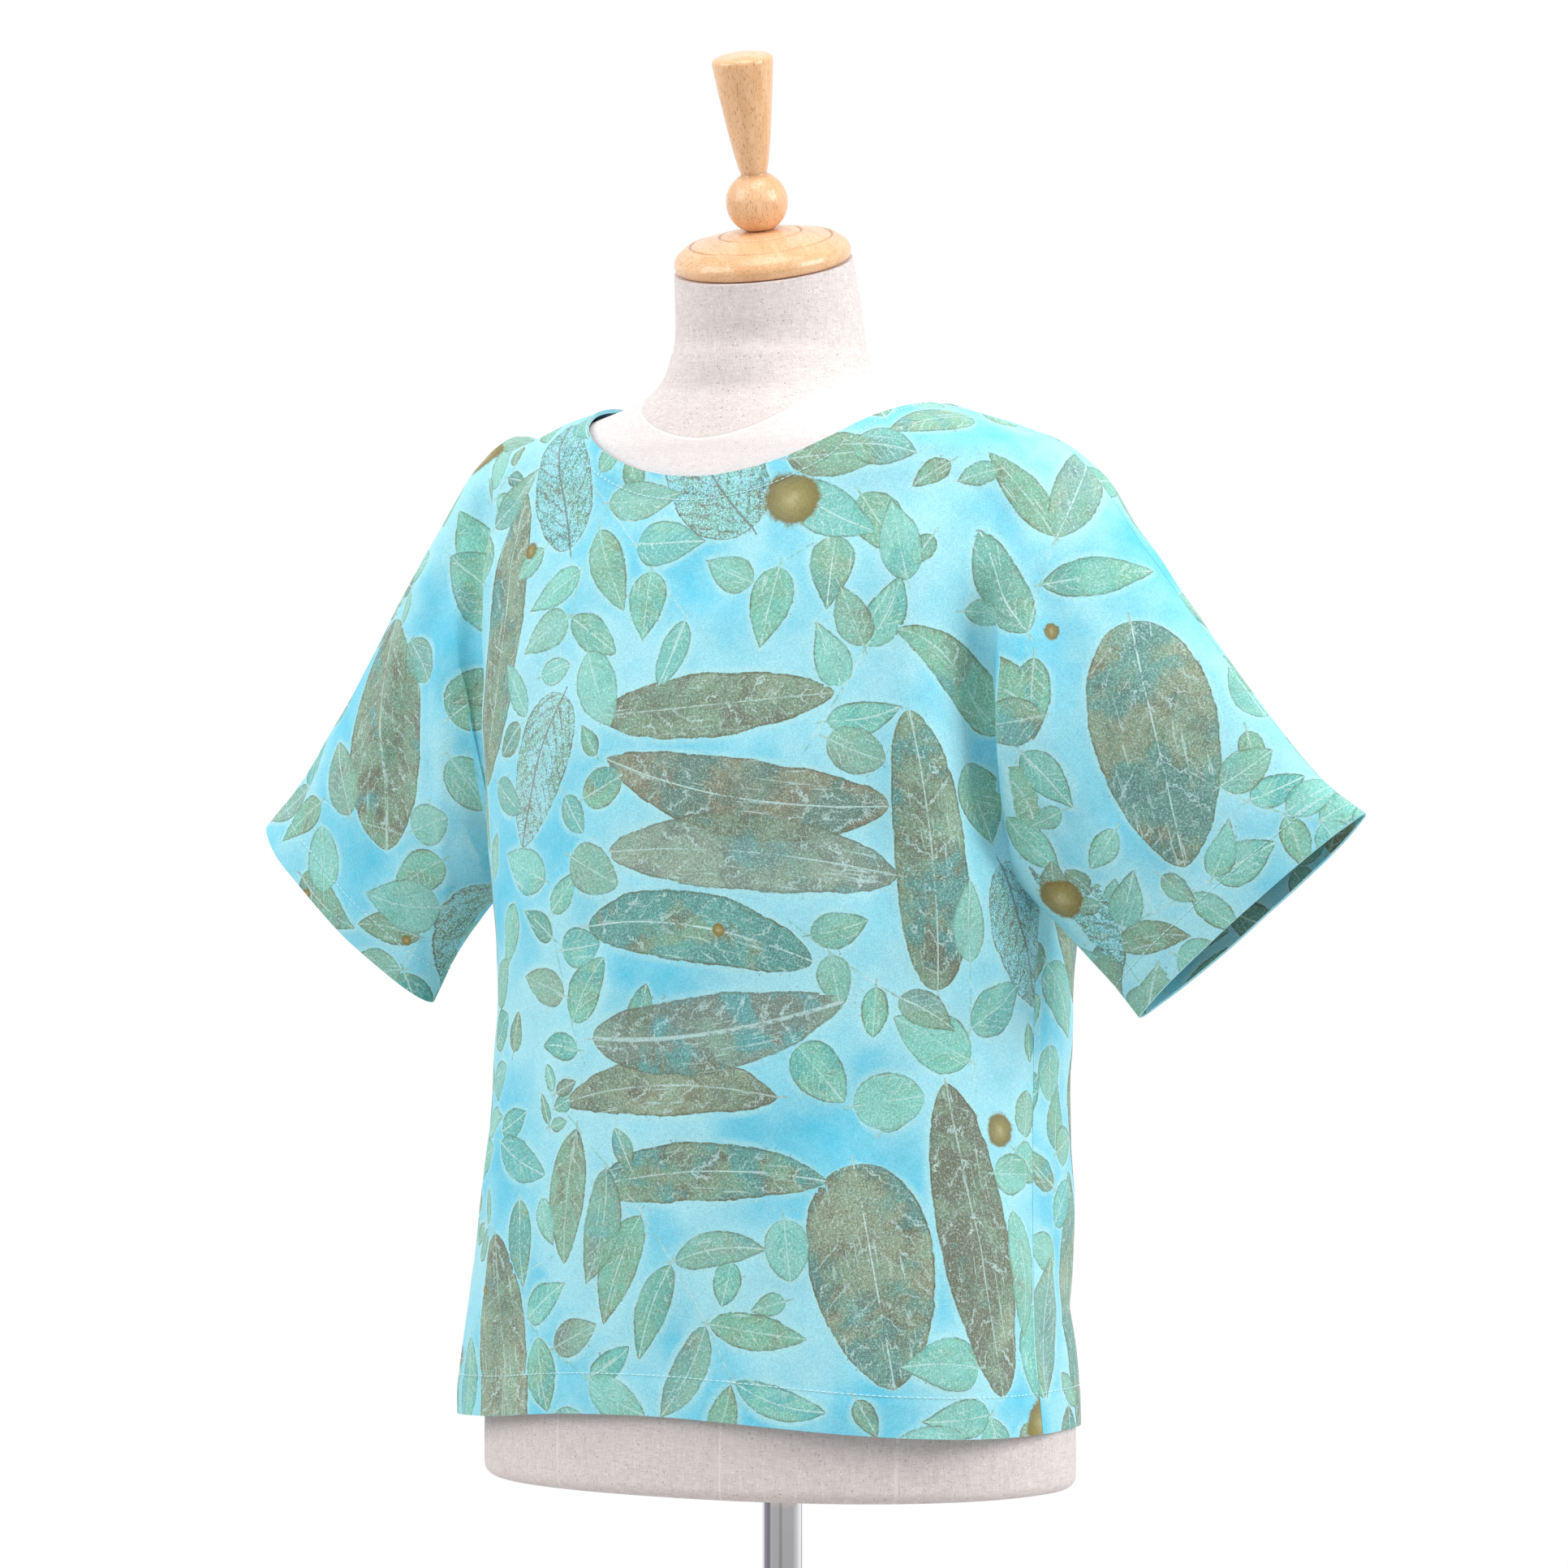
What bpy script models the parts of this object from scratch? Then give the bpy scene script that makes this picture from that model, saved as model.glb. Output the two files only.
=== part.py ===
import math

import bpy
import numpy as np

# A boxy blouse with cut-on half sleeves, worn by a limbless dress form on a pole and a round base.
# Metres. +X is the wearer's left, -Y the front and +Z up, with the floor at z = 0.

COLLECTION = "blouse_on_dress_form"

# Driving dimensions of the blouse
WALL = 0.0018  # thickness of the cloth
SEAM_GAP = 0.0003  # gap between the front and the back along a seam
CLEARANCE = 0.0006  # least gap between the cloth and the form
SEAM_CLEARANCE = 0.0012  # and at the points of the seams
SHOULDER_DEPTH = 0.075  # of the form, in front of its middle or behind
LAY_ON = 0.0031  # how far the outside of the cloth lies off the form, where it lies on it
NECK_HALF = 0.105  # half the width of the neck opening
NECK_SHIFT = 0.004  # the opening sits this far to the wearer's left
NECK_FRONT_DROP = 0.0405  # how far the front neckline dips below its ends
NECK_BACK_DROP = 0.0120
ARM_TOP = 0.195  # where the shoulder seam becomes the overarm seam
CUFF_TOP = 0.3675  # half span of the sleeves
UNDERARM_Z = 1.110
UNDERARM_X = 0.170

# Driving dimensions of the dress form
FORM_BOTTOM_Z = 0.785
FORM_EDGE_RADIUS = 0.007
NECK_BASE_Z = 1.407
NECK_TOP_RISE = 0.049  # height of the neck above its base
NECK_BEND_RISE = 0.030  # the neck bends forward over this height
LEAN_LEFT = 0.066  # slope of the neck's axis to the wearer's left
LEAN_FRONT = 0.277  # slope of the neck's axis to the front
CAP_DIAMETER = 0.0985
CAP_HEIGHT = 0.0200
CAP_GROOVES = ((0.0227, 0.0172), (0.0394, 0.0133))  # radius and height of each groove
CAP_RIM = ((0.0052, 0.0120), (0.0022, 0.0097), (0.0005, 0.0070), (0.0, 0.0048), (0.0004, 0.0024),
           (0.0014, 0.0008), (0.0030, 0.0))  # inset from the rim, and height
BALL_DIAMETER = 0.0344
BALL_SINK = 0.0020  # the ball is cut flat where it sits on the cap
HANDLE_FOOT_DIAMETER = 0.0140
HANDLE_HEAD_DIAMETER = 0.0338
HANDLE_LENGTH = 0.0662
POLE_DIAMETER = 0.0220
BASE_DIAMETER = 0.3400
BASE_THICKNESS = 0.0100
BASE_EDGE_RADIUS = 0.0040
REST_GAP = 0.0003  # gap between two pieces that rest on each other

# Faces across, down and around each loft
SLEEVE_COLUMNS = 7
SHOULDER_COLUMNS = 5
NECK_COLUMNS = 7  # from the centre to one end of the neckline
CHEST_ROWS = 16
SKIRT_ROWS = 12
FORM_SIDES = 40
TURNED_SIDES = 40

ROW_CROWDING = 1.7  # the rows lie closer together towards the shoulders
NECK_SHARE = 0.58  # where the neckline ends, from 0 at the centre to 1 at the armhole

# The form, a row for each section. The depths are measured from the middle.
FORM_COLUMNS = ("height", "half", "middle", "front", "back", "power")
FORM_SECTIONS = (
    (0.785, 0.1750, 0.000, 0.130, 0.110, 2.25),
    (0.820, 0.1755, 0.000, 0.130, 0.110, 2.22),
    (0.860, 0.173, 0.000, 0.126, 0.110, 2.20),
    (0.905, 0.162, 0.000, 0.115, 0.106, 2.20),
    (0.950, 0.144, 0.000, 0.102, 0.096, 2.20),
    (0.985, 0.134, 0.000, 0.097, 0.090, 2.15),
    (1.030, 0.137, 0.000, 0.102, 0.090, 2.10),
    (1.080, 0.147, 0.000, 0.115, 0.094, 2.10),
    (1.130, 0.154, 0.000, 0.124, 0.100, 2.10),
    (1.175, 0.156, 0.000, 0.122, 0.104, 2.15),
    (1.220, 0.158, 0.000, 0.114, 0.106, 2.20),
    (1.265, 0.165, 0.000, 0.103, 0.104, 2.25),
    (1.300, 0.173, 0.000, 0.094, 0.098, 2.30),
    (1.325, 0.178, 0.000, 0.088, 0.091, 2.30),
    (1.342, 0.1785, 0.000, 0.084, 0.084, 2.25),
    (1.351, 0.175, 0.000, 0.081, 0.079, 2.20),
    (1.358, 0.163, -0.001, 0.078, 0.074, 2.10),
    (1.364, 0.147, -0.001, 0.075, 0.070, 2.05),
    (1.369, 0.130, -0.002, 0.072, 0.066, 2.00),
    (1.3735, 0.112, -0.003, 0.069, 0.062, 2.00),
    (1.378, 0.0940, -0.005, 0.065, 0.058, 2.00),
    (1.382, 0.0810, -0.007, 0.061, 0.055, 2.00),
    (1.387, 0.0705, -0.009, 0.057, 0.0535, 2.00),
    (1.393, 0.0625, -0.011, 0.0545, 0.0530, 2.00),
    (1.400, 0.0575, -0.012, 0.0535, 0.0530, 2.00),
    (1.407, 0.0550, -0.012, 0.0530, 0.0530, 2.00),
)

# The neck, a row for each round section: height above its base and radius
NECK_COLUMNS_OF = ("rise", "radius")
NECK_SECTIONS = (
    (0.000, 0.0540),
    (0.008, 0.0527),
    (0.018, 0.0518),
    (0.030, 0.0508),
    (0.049, 0.0492),
)

# The blouse where it hangs free, a row for each section
HANG_COLUMNS = ("height", "half", "front", "back", "front_power", "back_power")
HANG_SECTIONS = (
    (0.820, 0.1820, 0.1370, 0.1170, 2.30, 2.10),
    (0.880, 0.1755, 0.1335, 0.1215, 2.32, 2.15),
    (0.950, 0.1700, 0.1315, 0.1260, 2.26, 2.25),
    (1.020, 0.1665, 0.1300, 0.1225, 2.22, 2.22),
    (1.080, 0.1665, 0.1295, 0.1190, 2.20, 2.20),
    (1.130, 0.1690, 0.1290, 0.1170, 2.15, 2.20),
    (1.180, 0.1715, 0.1265, 0.1160, 2.15, 2.25),
    (1.230, 0.1740, 0.1190, 0.1140, 2.20, 2.30),
    (1.280, 0.1775, 0.1070, 0.1080, 2.30, 2.30),
    (1.330, 0.1820, 0.0930, 0.0960, 2.35, 2.35),
)
HANG_STARTS_Z = 1.350  # the cloth lies on the form above this height
HANG_FULL_Z = 1.285  # and hangs free below this one

# The top edge of each sleeve seen from the front, a row for each point out from the neck
OVERARM_COLUMNS = ("out", "left", "right")
OVERARM = (
    (0.140, 1.3700, 1.3720),
    (0.160, 1.3650, 1.3715),
    (0.180, 1.3570, 1.3690),
    (0.197, 1.3430, 1.3570),
    (0.212, 1.3260, 1.3430),
    (0.230, 1.3010, 1.3190),
    (0.252, 1.2735, 1.2905),
    (0.282, 1.2365, 1.2510),
    (0.312, 1.2020, 1.2100),
    (0.344, 1.1700, 1.1700),
    (0.3675, 1.1545, 1.1460),
)
OVERARM_BLEND = (0.150, 0.185)  # from the form's own shoulder line to the line above

# The under edge of each sleeve, from the underarm to the cuff
UNDERSIDE_COLUMNS = ("share", "left_x", "left_z", "right_x", "right_z")
UNDERSIDE = (
    (0.00, 0.1700, 1.1100, 0.1700, 1.1100),
    (0.12, 0.1765, 1.1030, 0.1830, 1.1085),
    (0.32, 0.1880, 1.0905, 0.2015, 1.1025),
    (0.55, 0.2025, 1.0755, 0.2155, 1.0870),
    (0.78, 0.2185, 1.0600, 0.2300, 1.0660),
    (1.00, 0.2325, 1.0445, 0.2415, 1.0450),
)

# Half the thickness of a sleeve in front of its seam and behind, from the armhole to the cuff
SLEEVE_COLUMNS_OF = ("along", "left_front", "left_back", "right_front", "right_back", "roundness")
SLEEVE = (
    (0.00, 0.0600, 0.0610, 0.0600, 0.0610, 0.50),
    (0.25, 0.0490, 0.0500, 0.0510, 0.0490, 0.51),
    (0.50, 0.0350, 0.0360, 0.0400, 0.0370, 0.52),
    (0.75, 0.0230, 0.0225, 0.0315, 0.0260, 0.53),
    (1.00, 0.0140, 0.0155, 0.0265, 0.0180, 0.53),
)
OVERARM_CUFF_Y = (0.010, 0.004)  # the overarm seams of the left and the right sleeve at the cuff
UNDERARM_CUFF_Y = (0.002, -0.005)  # and the under seams
SIDE_SEAM_HEM_Y = -0.024  # the side seams at the hem
UNION_POWER = 5.0  # how sharply the sleeve meets the body

# The hem seen from the front
HEM_COLUMNS = ("x", "front", "back")
HEM = (
    (-0.182, 0.8180, 0.8180),
    (-0.120, 0.8220, 0.8190),
    (-0.050, 0.8280, 0.8210),
    (0.020, 0.8295, 0.8220),
    (0.090, 0.8260, 0.8210),
    (0.140, 0.8225, 0.8200),
    (0.182, 0.8200, 0.8200),
)

# The largest folds. Each runs from its top to its foot, bowed sideways at its middle,
# and lifts the cloth, or sinks it where the lift is negative.
FOLD_COLUMNS = ("panel", "top_x", "top_z", "foot_x", "foot_z", "bow", "width", "lift")
FOLDS = (
    ("front", 0.146, 1.270, 0.150, 1.050, 0.006, 0.017, 0.0080),
    ("front", 0.182, 1.215, 0.171, 1.104, 0.003, 0.014, -0.0075),
    ("front", 0.140, 1.080, 0.168, 0.860, 0.003, 0.018, 0.0040),
    ("front", -0.158, 1.330, -0.152, 1.140, -0.004, 0.018, 0.0055),
    ("front", -0.183, 1.215, -0.171, 1.104, -0.002, 0.014, -0.0075),
    ("front", -0.172, 1.350, -0.216, 1.245, 0.004, 0.012, 0.0055),
    ("front", -0.186, 1.300, -0.262, 1.110, 0.006, 0.014, -0.0035),
    ("front", 0.196, 1.300, 0.262, 1.105, 0.006, 0.015, -0.0035),
    ("front", 0.196, 1.180, 0.226, 1.085, 0.004, 0.010, -0.0035),
    ("front", -0.085, 1.060, -0.100, 0.815, 0.000, 0.024, -0.0030),
    ("front", 0.060, 1.020, 0.076, 0.815, 0.000, 0.028, -0.0030),
    ("front", 0.132, 1.010, 0.138, 0.815, 0.000, 0.016, -0.0035),
    ("back", 0.150, 1.280, 0.154, 1.050, 0.004, 0.018, 0.0060),
    ("back", 0.183, 1.215, 0.171, 1.104, 0.003, 0.014, -0.0075),
    ("back", -0.148, 1.290, -0.154, 1.050, -0.004, 0.018, 0.0060),
    ("back", -0.183, 1.215, -0.171, 1.104, -0.003, 0.014, -0.0075),
    ("back", 0.070, 1.130, 0.098, 0.815, 0.004, 0.026, -0.0045),
    ("back", -0.052, 1.080, -0.074, 0.815, -0.004, 0.024, -0.0040),
    ("back", 0.010, 1.000, 0.016, 0.815, 0.000, 0.030, 0.0040),
    ("back", -0.126, 1.060, -0.138, 0.815, 0.000, 0.018, -0.0035),
    ("back", 0.200, 1.290, 0.268, 1.110, 0.006, 0.014, -0.0035),
    ("back", -0.200, 1.290, -0.262, 1.100, -0.006, 0.014, -0.0035),
)


def column(rows, columns, name):
    place = columns.index(name)
    return np.array([row[place] for row in rows])


def smooth_step(start, end, value):
    share = np.clip((np.asarray(value, float) - start) / (end - start), 0.0, 1.0)
    return share * share * (3.0 - 2.0 * share)


def smooth_curve(knots, values, at):
    # A cubic between neighbouring points, whose slope at a point comes from both its neighbours
    slopes = np.gradient(values, knots)
    at = np.clip(at, knots[0], knots[-1])
    cell = np.clip(np.searchsorted(knots, at, side="right") - 1, 0, len(knots) - 2)
    run = knots[cell + 1] - knots[cell]
    t = (at - knots[cell]) / run
    start = values[cell] * (1.0 + 2.0 * t) * (1.0 - t) ** 2 + slopes[cell] * run * t * (1.0 - t) ** 2
    end = values[cell + 1] * t * t * (3.0 - 2.0 * t) - slopes[cell + 1] * run * t * t * (1.0 - t)
    return start + end


def read_table(rows, columns, name, at):
    return smooth_curve(column(rows, columns, columns[0]), column(rows, columns, name), at)


def rounding(share, power):
    # The height of a superellipse of radius 1 at this share of its half width
    return np.clip(1.0 - np.abs(share) ** power, 0.0, None) ** (1.0 / power)


def form_size(name, height):
    return read_table(FORM_SECTIONS, FORM_COLUMNS, name, height)


def form_clearance(points):
    # Distance from the form's surface, positive outside, to first order
    def level(x, y, z):
        y = y - form_size("middle", z)
        depth = np.where(y < 0.0, form_size("front", z), form_size("back", z))
        power = form_size("power", z)
        return (np.abs(x / form_size("half", z)) ** power + np.abs(y / depth) ** power) ** (1.0 / power)

    x, y, z = points[..., 0], points[..., 1], points[..., 2]
    step = 0.0005
    here = level(x, y, z)
    slope_x = (level(x + step, y, z) - level(x - step, y, z)) / (2.0 * step)
    slope_y = (level(x, y + step, z) - level(x, y - step, z)) / (2.0 * step)
    slope_z = (level(x, y, z + step) - level(x, y, z - step)) / (2.0 * step)
    steepness = np.sqrt(slope_x**2 + slope_y**2 + slope_z**2)
    return (here - 1.0) / np.maximum(steepness, 1e-6)


def shoulder_line(x):
    # Height of the form's shoulder at this distance from the centre
    heights = np.linspace(1.342, NECK_BASE_Z, 400)
    halves = form_size("half", heights)
    return np.interp(np.abs(x), halves[::-1], heights[::-1])


def overarm_height(x):
    side = np.where(
        x < 0.0,
        read_table(OVERARM, OVERARM_COLUMNS, "right", np.abs(x)),
        read_table(OVERARM, OVERARM_COLUMNS, "left", np.abs(x)),
    )
    weight = smooth_step(*OVERARM_BLEND, np.abs(x))
    return (1.0 - weight) * (shoulder_line(x) + LAY_ON) + weight * side


def neckline_height(x, panel):
    drop = NECK_FRONT_DROP if panel == "front" else NECK_BACK_DROP
    right = overarm_height(np.full_like(x, NECK_SHIFT - NECK_HALF))
    left = overarm_height(np.full_like(x, NECK_SHIFT + NECK_HALF))
    share = (x - NECK_SHIFT) / NECK_HALF
    ends = 0.5 * (right + left) + 0.5 * (left - right) * share
    return ends - drop * (1.0 - np.abs(share) ** 2.3)


def body_share(across):
    # From 0 at the centre to 1 at the side seam, closer together near the seam
    return np.sign(across) * np.sin(0.5 * math.pi * np.clip(np.abs(across), 0.0, 1.0)) ** 0.92


def top_edge(across, panel):
    # The neckline, the shoulder seam and the overarm seam, seen from the front
    out = np.abs(across)
    side = np.sign(across)
    neck_end = NECK_HALF + side * NECK_SHIFT
    along_neck = np.sin(0.5 * math.pi * np.minimum(out / NECK_SHARE, 1.0))
    along_shoulder = (out - NECK_SHARE) / (1.0 - NECK_SHARE)
    on_neck = NECK_SHIFT + side * NECK_HALF * along_neck
    on_shoulder = side * (neck_end + (ARM_TOP - neck_end) * along_shoulder)
    on_sleeve = side * (ARM_TOP + (CUFF_TOP - ARM_TOP) * (out - 1.0))
    x = np.where(out < NECK_SHARE, on_neck, np.where(out > 1.0, on_sleeve, on_shoulder))
    z = np.where(out < NECK_SHARE, neckline_height(x, panel), overarm_height(x))
    return x, z


def low_edge(across):
    # The underarm level of the body and the under edges of the sleeves, seen from the front
    out = np.abs(across)
    x_body = UNDERARM_X * np.abs(body_share(across))
    along = np.clip(out - 1.0, 0.0, 1.0)
    sleeve = {
        name: read_table(UNDERSIDE, UNDERSIDE_COLUMNS, name, along) for name in UNDERSIDE_COLUMNS[1:]
    }
    x_sleeve = np.where(across > 0.0, sleeve["left_x"], sleeve["right_x"])
    z_sleeve = np.where(across > 0.0, sleeve["left_z"], sleeve["right_z"])
    x = np.where(out > 1.0, x_sleeve, x_body) * np.sign(across)
    return x, np.where(out > 1.0, z_sleeve, UNDERARM_Z)


def hang_size(name, height):
    return read_table(HANG_SECTIONS, HANG_COLUMNS, name, height)


def side_seam_x(height):
    # The hang's half width, drawn in to the underarm point at its top
    return hang_size("half", height) + (UNDERARM_X - hang_size("half", UNDERARM_Z)) * smooth_step(
        1.04, UNDERARM_Z, height
    )


def face_view(across, down, panel):
    # Where a point lies seen from the front, and how far it is from the top edge to the low edge
    out = np.abs(across)
    top_x, top_z = top_edge(across, panel)
    low_x, low_z = low_edge(across)
    upper = np.clip(down, 0.0, 1.0)
    to_both_ends = 0.5 - 0.5 * np.cos(math.pi * upper)
    weight = smooth_step(0.75, 1.15, out)
    share = (1.0 - weight) * upper**ROW_CROWDING + weight * to_both_ends
    x = top_x + (low_x - top_x) * share
    z = top_z + (low_z - top_z) * share
    hem_z = read_table(HEM, HEM_COLUMNS, panel, HEM[-1][0] * body_share(across))
    skirt_z = UNDERARM_Z - (UNDERARM_Z - hem_z) * (down - 1.0)
    skirt_x = side_seam_x(skirt_z) * body_share(across)
    is_skirt = down > 1.0
    return np.where(is_skirt, skirt_x, x), np.where(is_skirt, skirt_z, z), share


def seam_plane(across, share, z):
    # The surface between the front and the back, which the seams lie in
    body = form_size("middle", z) + SIDE_SEAM_HEM_Y * smooth_step(1.06, 0.83, z)
    over = np.where(across > 0.0, *OVERARM_CUFF_Y)
    under = np.where(across > 0.0, *UNDERARM_CUFF_Y)
    sleeve = (over + (under - over) * share) * np.clip(np.abs(across) - 0.6, 0.0, 1.0)
    weight = smooth_step(0.80, 1.30, np.abs(across))
    return (1.0 - weight) * body + weight * sleeve


def body_depth(x, z, panel, plane):
    # How far the body of the blouse stands in front of the seam plane, or behind it
    low = z - LAY_ON
    lying = form_size(panel, low) * rounding(x / form_size("half", low), form_size("power", low))
    lying = lying * (1.0 + LAY_ON / SHOULDER_DEPTH)
    toward = plane if panel == "front" else -plane
    hanging = (hang_size(panel, z) + toward) * rounding(x / side_seam_x(z), hang_size(f"{panel}_power", z))
    weight = smooth_step(HANG_STARTS_Z, HANG_FULL_Z, z)
    return (1.0 - weight) * lying + weight * hanging


def sleeve_depth(across, share, panel):
    along = np.clip(np.abs(across) - 1.0, 0.0, 1.0)
    left = read_table(SLEEVE, SLEEVE_COLUMNS_OF, f"left_{panel}", along)
    right = read_table(SLEEVE, SLEEVE_COLUMNS_OF, f"right_{panel}", along)
    thickness = np.where(across > 0.0, left, right)
    roundness = read_table(SLEEVE, SLEEVE_COLUMNS_OF, "roundness", along)
    fade = smooth_step(0.55, 1.0, np.abs(across))
    return thickness * fade * (4.0 * share * (1.0 - share)) ** roundness


def fold_lift(x, z, panel):
    total = np.zeros_like(x)
    for fold in (dict(zip(FOLD_COLUMNS, row)) for row in FOLDS if row[0] == panel):
        run_x = fold["foot_x"] - fold["top_x"]
        run_z = fold["foot_z"] - fold["top_z"]
        off_x, off_z = x - fold["top_x"], z - fold["top_z"]
        length = math.hypot(run_x, run_z)
        along = (off_x * run_x + off_z * run_z) / length**2
        held = np.clip(along, 0.0, 1.0)
        side = (off_x * run_z - off_z * run_x) / length - fold["bow"] * 4.0 * held * (1.0 - held)
        past = (along - held) * length
        away = (side / fold["width"]) ** 2 + (past / (1.5 * fold["width"])) ** 2
        ends = 0.35 + 0.65 * np.sin(math.pi * (0.1 + 0.8 * held))
        total += fold["lift"] * ends * np.exp(-away)
    return total


def vertex_normals(points, faces):
    corners = points[faces]
    normals = np.cross(corners[:, 2] - corners[:, 0], corners[:, 3] - corners[:, 1])
    total = np.zeros_like(points)
    for corner in range(4):
        np.add.at(total, faces[:, corner], normals)
    return total / np.maximum(np.linalg.norm(total, axis=1, keepdims=True), 1e-12)


def panel_grid():
    # The columns from cuff to cuff, and the rows from the shoulders to the hem
    neck = np.linspace(0.0, NECK_SHARE, NECK_COLUMNS + 1)
    shoulder = np.linspace(NECK_SHARE, 1.0, SHOULDER_COLUMNS + 1)[1:]
    sleeve = 1.0 + np.linspace(0.0, 1.0, SLEEVE_COLUMNS + 1)[1:]
    half = np.concatenate([neck, shoulder, sleeve])
    across = np.concatenate([-half[:0:-1], half])
    chest = np.linspace(0.0, 1.0, CHEST_ROWS + 1)
    skirt = 1.0 + np.linspace(0.0, 1.0, SKIRT_ROWS + 1)[1:]
    return across, np.concatenate([chest, skirt])


def panel_faces(across, down):
    # Quads of the T-shaped grid, seen from the front, with the sleeves only above the underarm
    faces = []
    for row in range(len(down) - 1):
        for place in range(len(across) - 1):
            on_body = max(abs(across[place]), abs(across[place + 1])) <= 1.0 + 1e-9
            if row < CHEST_ROWS or on_body:
                first = row * len(across) + place
                below = first + len(across)
                faces.append((first, below, below + 1, first + 1))
    return np.array(faces)


def seam_normals(across, down, x, z):
    # Outward directions, in the plane of the seams, at the points that lie on a seam
    on_top = (down == 0.0) & (np.abs(across) >= NECK_SHARE - 1e-9)
    on_under = (down == 1.0) & (np.abs(across) >= 1.0 - 1e-9)
    on_side = (down > 1.0) & (np.abs(np.abs(across) - 1.0) < 1e-9)
    step = 1e-3
    side = np.where(across < 0.0, -1.0, 1.0)
    out = np.abs(across)

    def square_to(run_x, run_z):
        length = np.hypot(run_x, run_z)
        return np.stack([-run_z / length, np.zeros_like(length), run_x / length], axis=-1)

    before = top_edge(side * np.maximum(out - step, NECK_SHARE), "front")
    after = top_edge(side * np.maximum(out + step, NECK_SHARE + step), "front")
    top = square_to((after[0] - before[0]) * side, (after[1] - before[1]) * side)
    before = low_edge(side * np.clip(out - step, 1.0, 2.0 - step))
    after = low_edge(side * np.clip(out + step, 1.0 + step, 2.0))
    under = -square_to((after[0] - before[0]) * side, (after[1] - before[1]) * side)
    run = side_seam_x(z - step) - side_seam_x(z + step)
    flank = square_to(-run, np.full_like(run, 2.0 * step)) * -side[..., None]
    corner = (down == 1.0) & (np.abs(out - 1.0) < 1e-9)
    bisector = under + np.stack([side, np.zeros_like(side), np.zeros_like(side)], axis=-1)
    bisector /= np.linalg.norm(bisector, axis=-1, keepdims=True)
    under = np.where(corner[..., None], bisector, under)
    normals = np.where(on_top[..., None], top, np.where(on_under[..., None], under, flank))
    return on_top | on_under | on_side, normals


def clearance_short(inside, faces, on_seam):
    # How far each point has to move out, for the inside of the cloth to clear the form there
    # and halfway to the points around it. The seams' points look only at themselves.
    short = np.where(on_seam, SEAM_CLEARANCE, CLEARANCE) - form_clearance(inside)
    around = short.copy()
    for one, other in ((0, 1), (1, 2), (2, 3), (3, 0), (0, 2), (1, 3)):
        a, b = faces[:, one], faces[:, other]
        lack = CLEARANCE - form_clearance(0.5 * (inside[a] + inside[b]))
        np.maximum.at(around, a, lack)
        np.maximum.at(around, b, lack)
    return np.clip(np.where(on_seam, short, around), 0.0, None)


def panel_surface(panel):
    # The outside of a panel, its outward normals and its quads
    across_line, down_line = panel_grid()
    across, down = np.meshgrid(across_line, down_line)
    across, down = across.ravel(), down.ravel()
    faces = panel_faces(across_line, down_line)
    x, z, share = face_view(across, down, panel)
    plane = seam_plane(across, share, z)
    on_seam, seam_out = seam_normals(across, down, x, z)
    body = body_depth(x, z, panel, plane)
    sleeve = np.where(down > 1.0, 0.0, sleeve_depth(across, share, panel))
    depth = (body**UNION_POWER + sleeve**UNION_POWER) ** (1.0 / UNION_POWER)
    depth = np.where(on_seam, 0.0, depth)
    facing = -1.0 if panel == "front" else 1.0
    points = np.stack([x, plane + facing * depth, z], axis=-1)
    if panel == "back":
        faces = faces[:, ::-1]
    normals = vertex_normals(points, faces)
    points = points + normals * np.where(on_seam, 0.0, fold_lift(x, z, panel))[:, None]
    for _ in range(6):
        normals = np.where(on_seam[:, None], seam_out, vertex_normals(points, faces))
        short = clearance_short(points - normals * WALL, faces, on_seam)
        points = points + normals * short[:, None]
    return points, normals, faces, on_seam


def panel_mesh(panel):
    points, normals, faces, on_seam = panel_surface(panel)
    facing = -1.0 if panel == "front" else 1.0
    apart = np.where(on_seam, facing * 0.5 * SEAM_GAP, 0.0)[:, None] * np.array([0.0, 1.0, 0.0])
    outside = points + apart
    inside = points - normals * WALL + apart
    count = len(points)
    edges = np.concatenate([faces[:, [k, (k + 1) % 4]] for k in range(4)])
    there = {tuple(edge) for edge in edges.tolist()}
    rim = [edge for edge in edges.tolist() if (edge[1], edge[0]) not in there]
    quads = faces.tolist()
    quads += (faces[:, ::-1] + count).tolist()
    rims = []
    for a, b in rim:
        # Both panels split a seam's edge along the same diagonal, so that the gap stays even
        if a < b:
            rims += [(b, a, b + count), (a, a + count, b + count)]
        else:
            rims += [(b, a, a + count), (b, a + count, b + count)]
    used = np.unique(np.array(quads))
    place = np.full(2 * count, -1)
    place[used] = np.arange(len(used))
    faces = [tuple(place[list(face)]) for face in quads + rims]
    return np.concatenate([outside, inside])[used], faces


def material(name, color, roughness, metallic=0.0):
    made = bpy.data.materials.new(name)
    made.use_nodes = True
    shader = made.node_tree.nodes["Principled BSDF"]
    shader.inputs["Base Color"].default_value = (*color, 1.0)
    shader.inputs["Roughness"].default_value = roughness
    shader.inputs["Metallic"].default_value = metallic
    made.diffuse_color = (*color, 1.0)
    return made


def add_object(name, points, faces, finish):
    mesh = bpy.data.meshes.new(name)
    mesh.from_pydata([tuple(map(float, p)) for p in points], [], [tuple(map(int, f)) for f in faces])
    mesh.validate()
    mesh.shade_smooth()
    mesh.set_sharp_from_angle(angle=math.radians(40.0))
    mesh.materials.append(finish)
    made = bpy.data.objects.new(name, mesh)
    bpy.data.collections[COLLECTION].objects.link(made)
    return made


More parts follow.
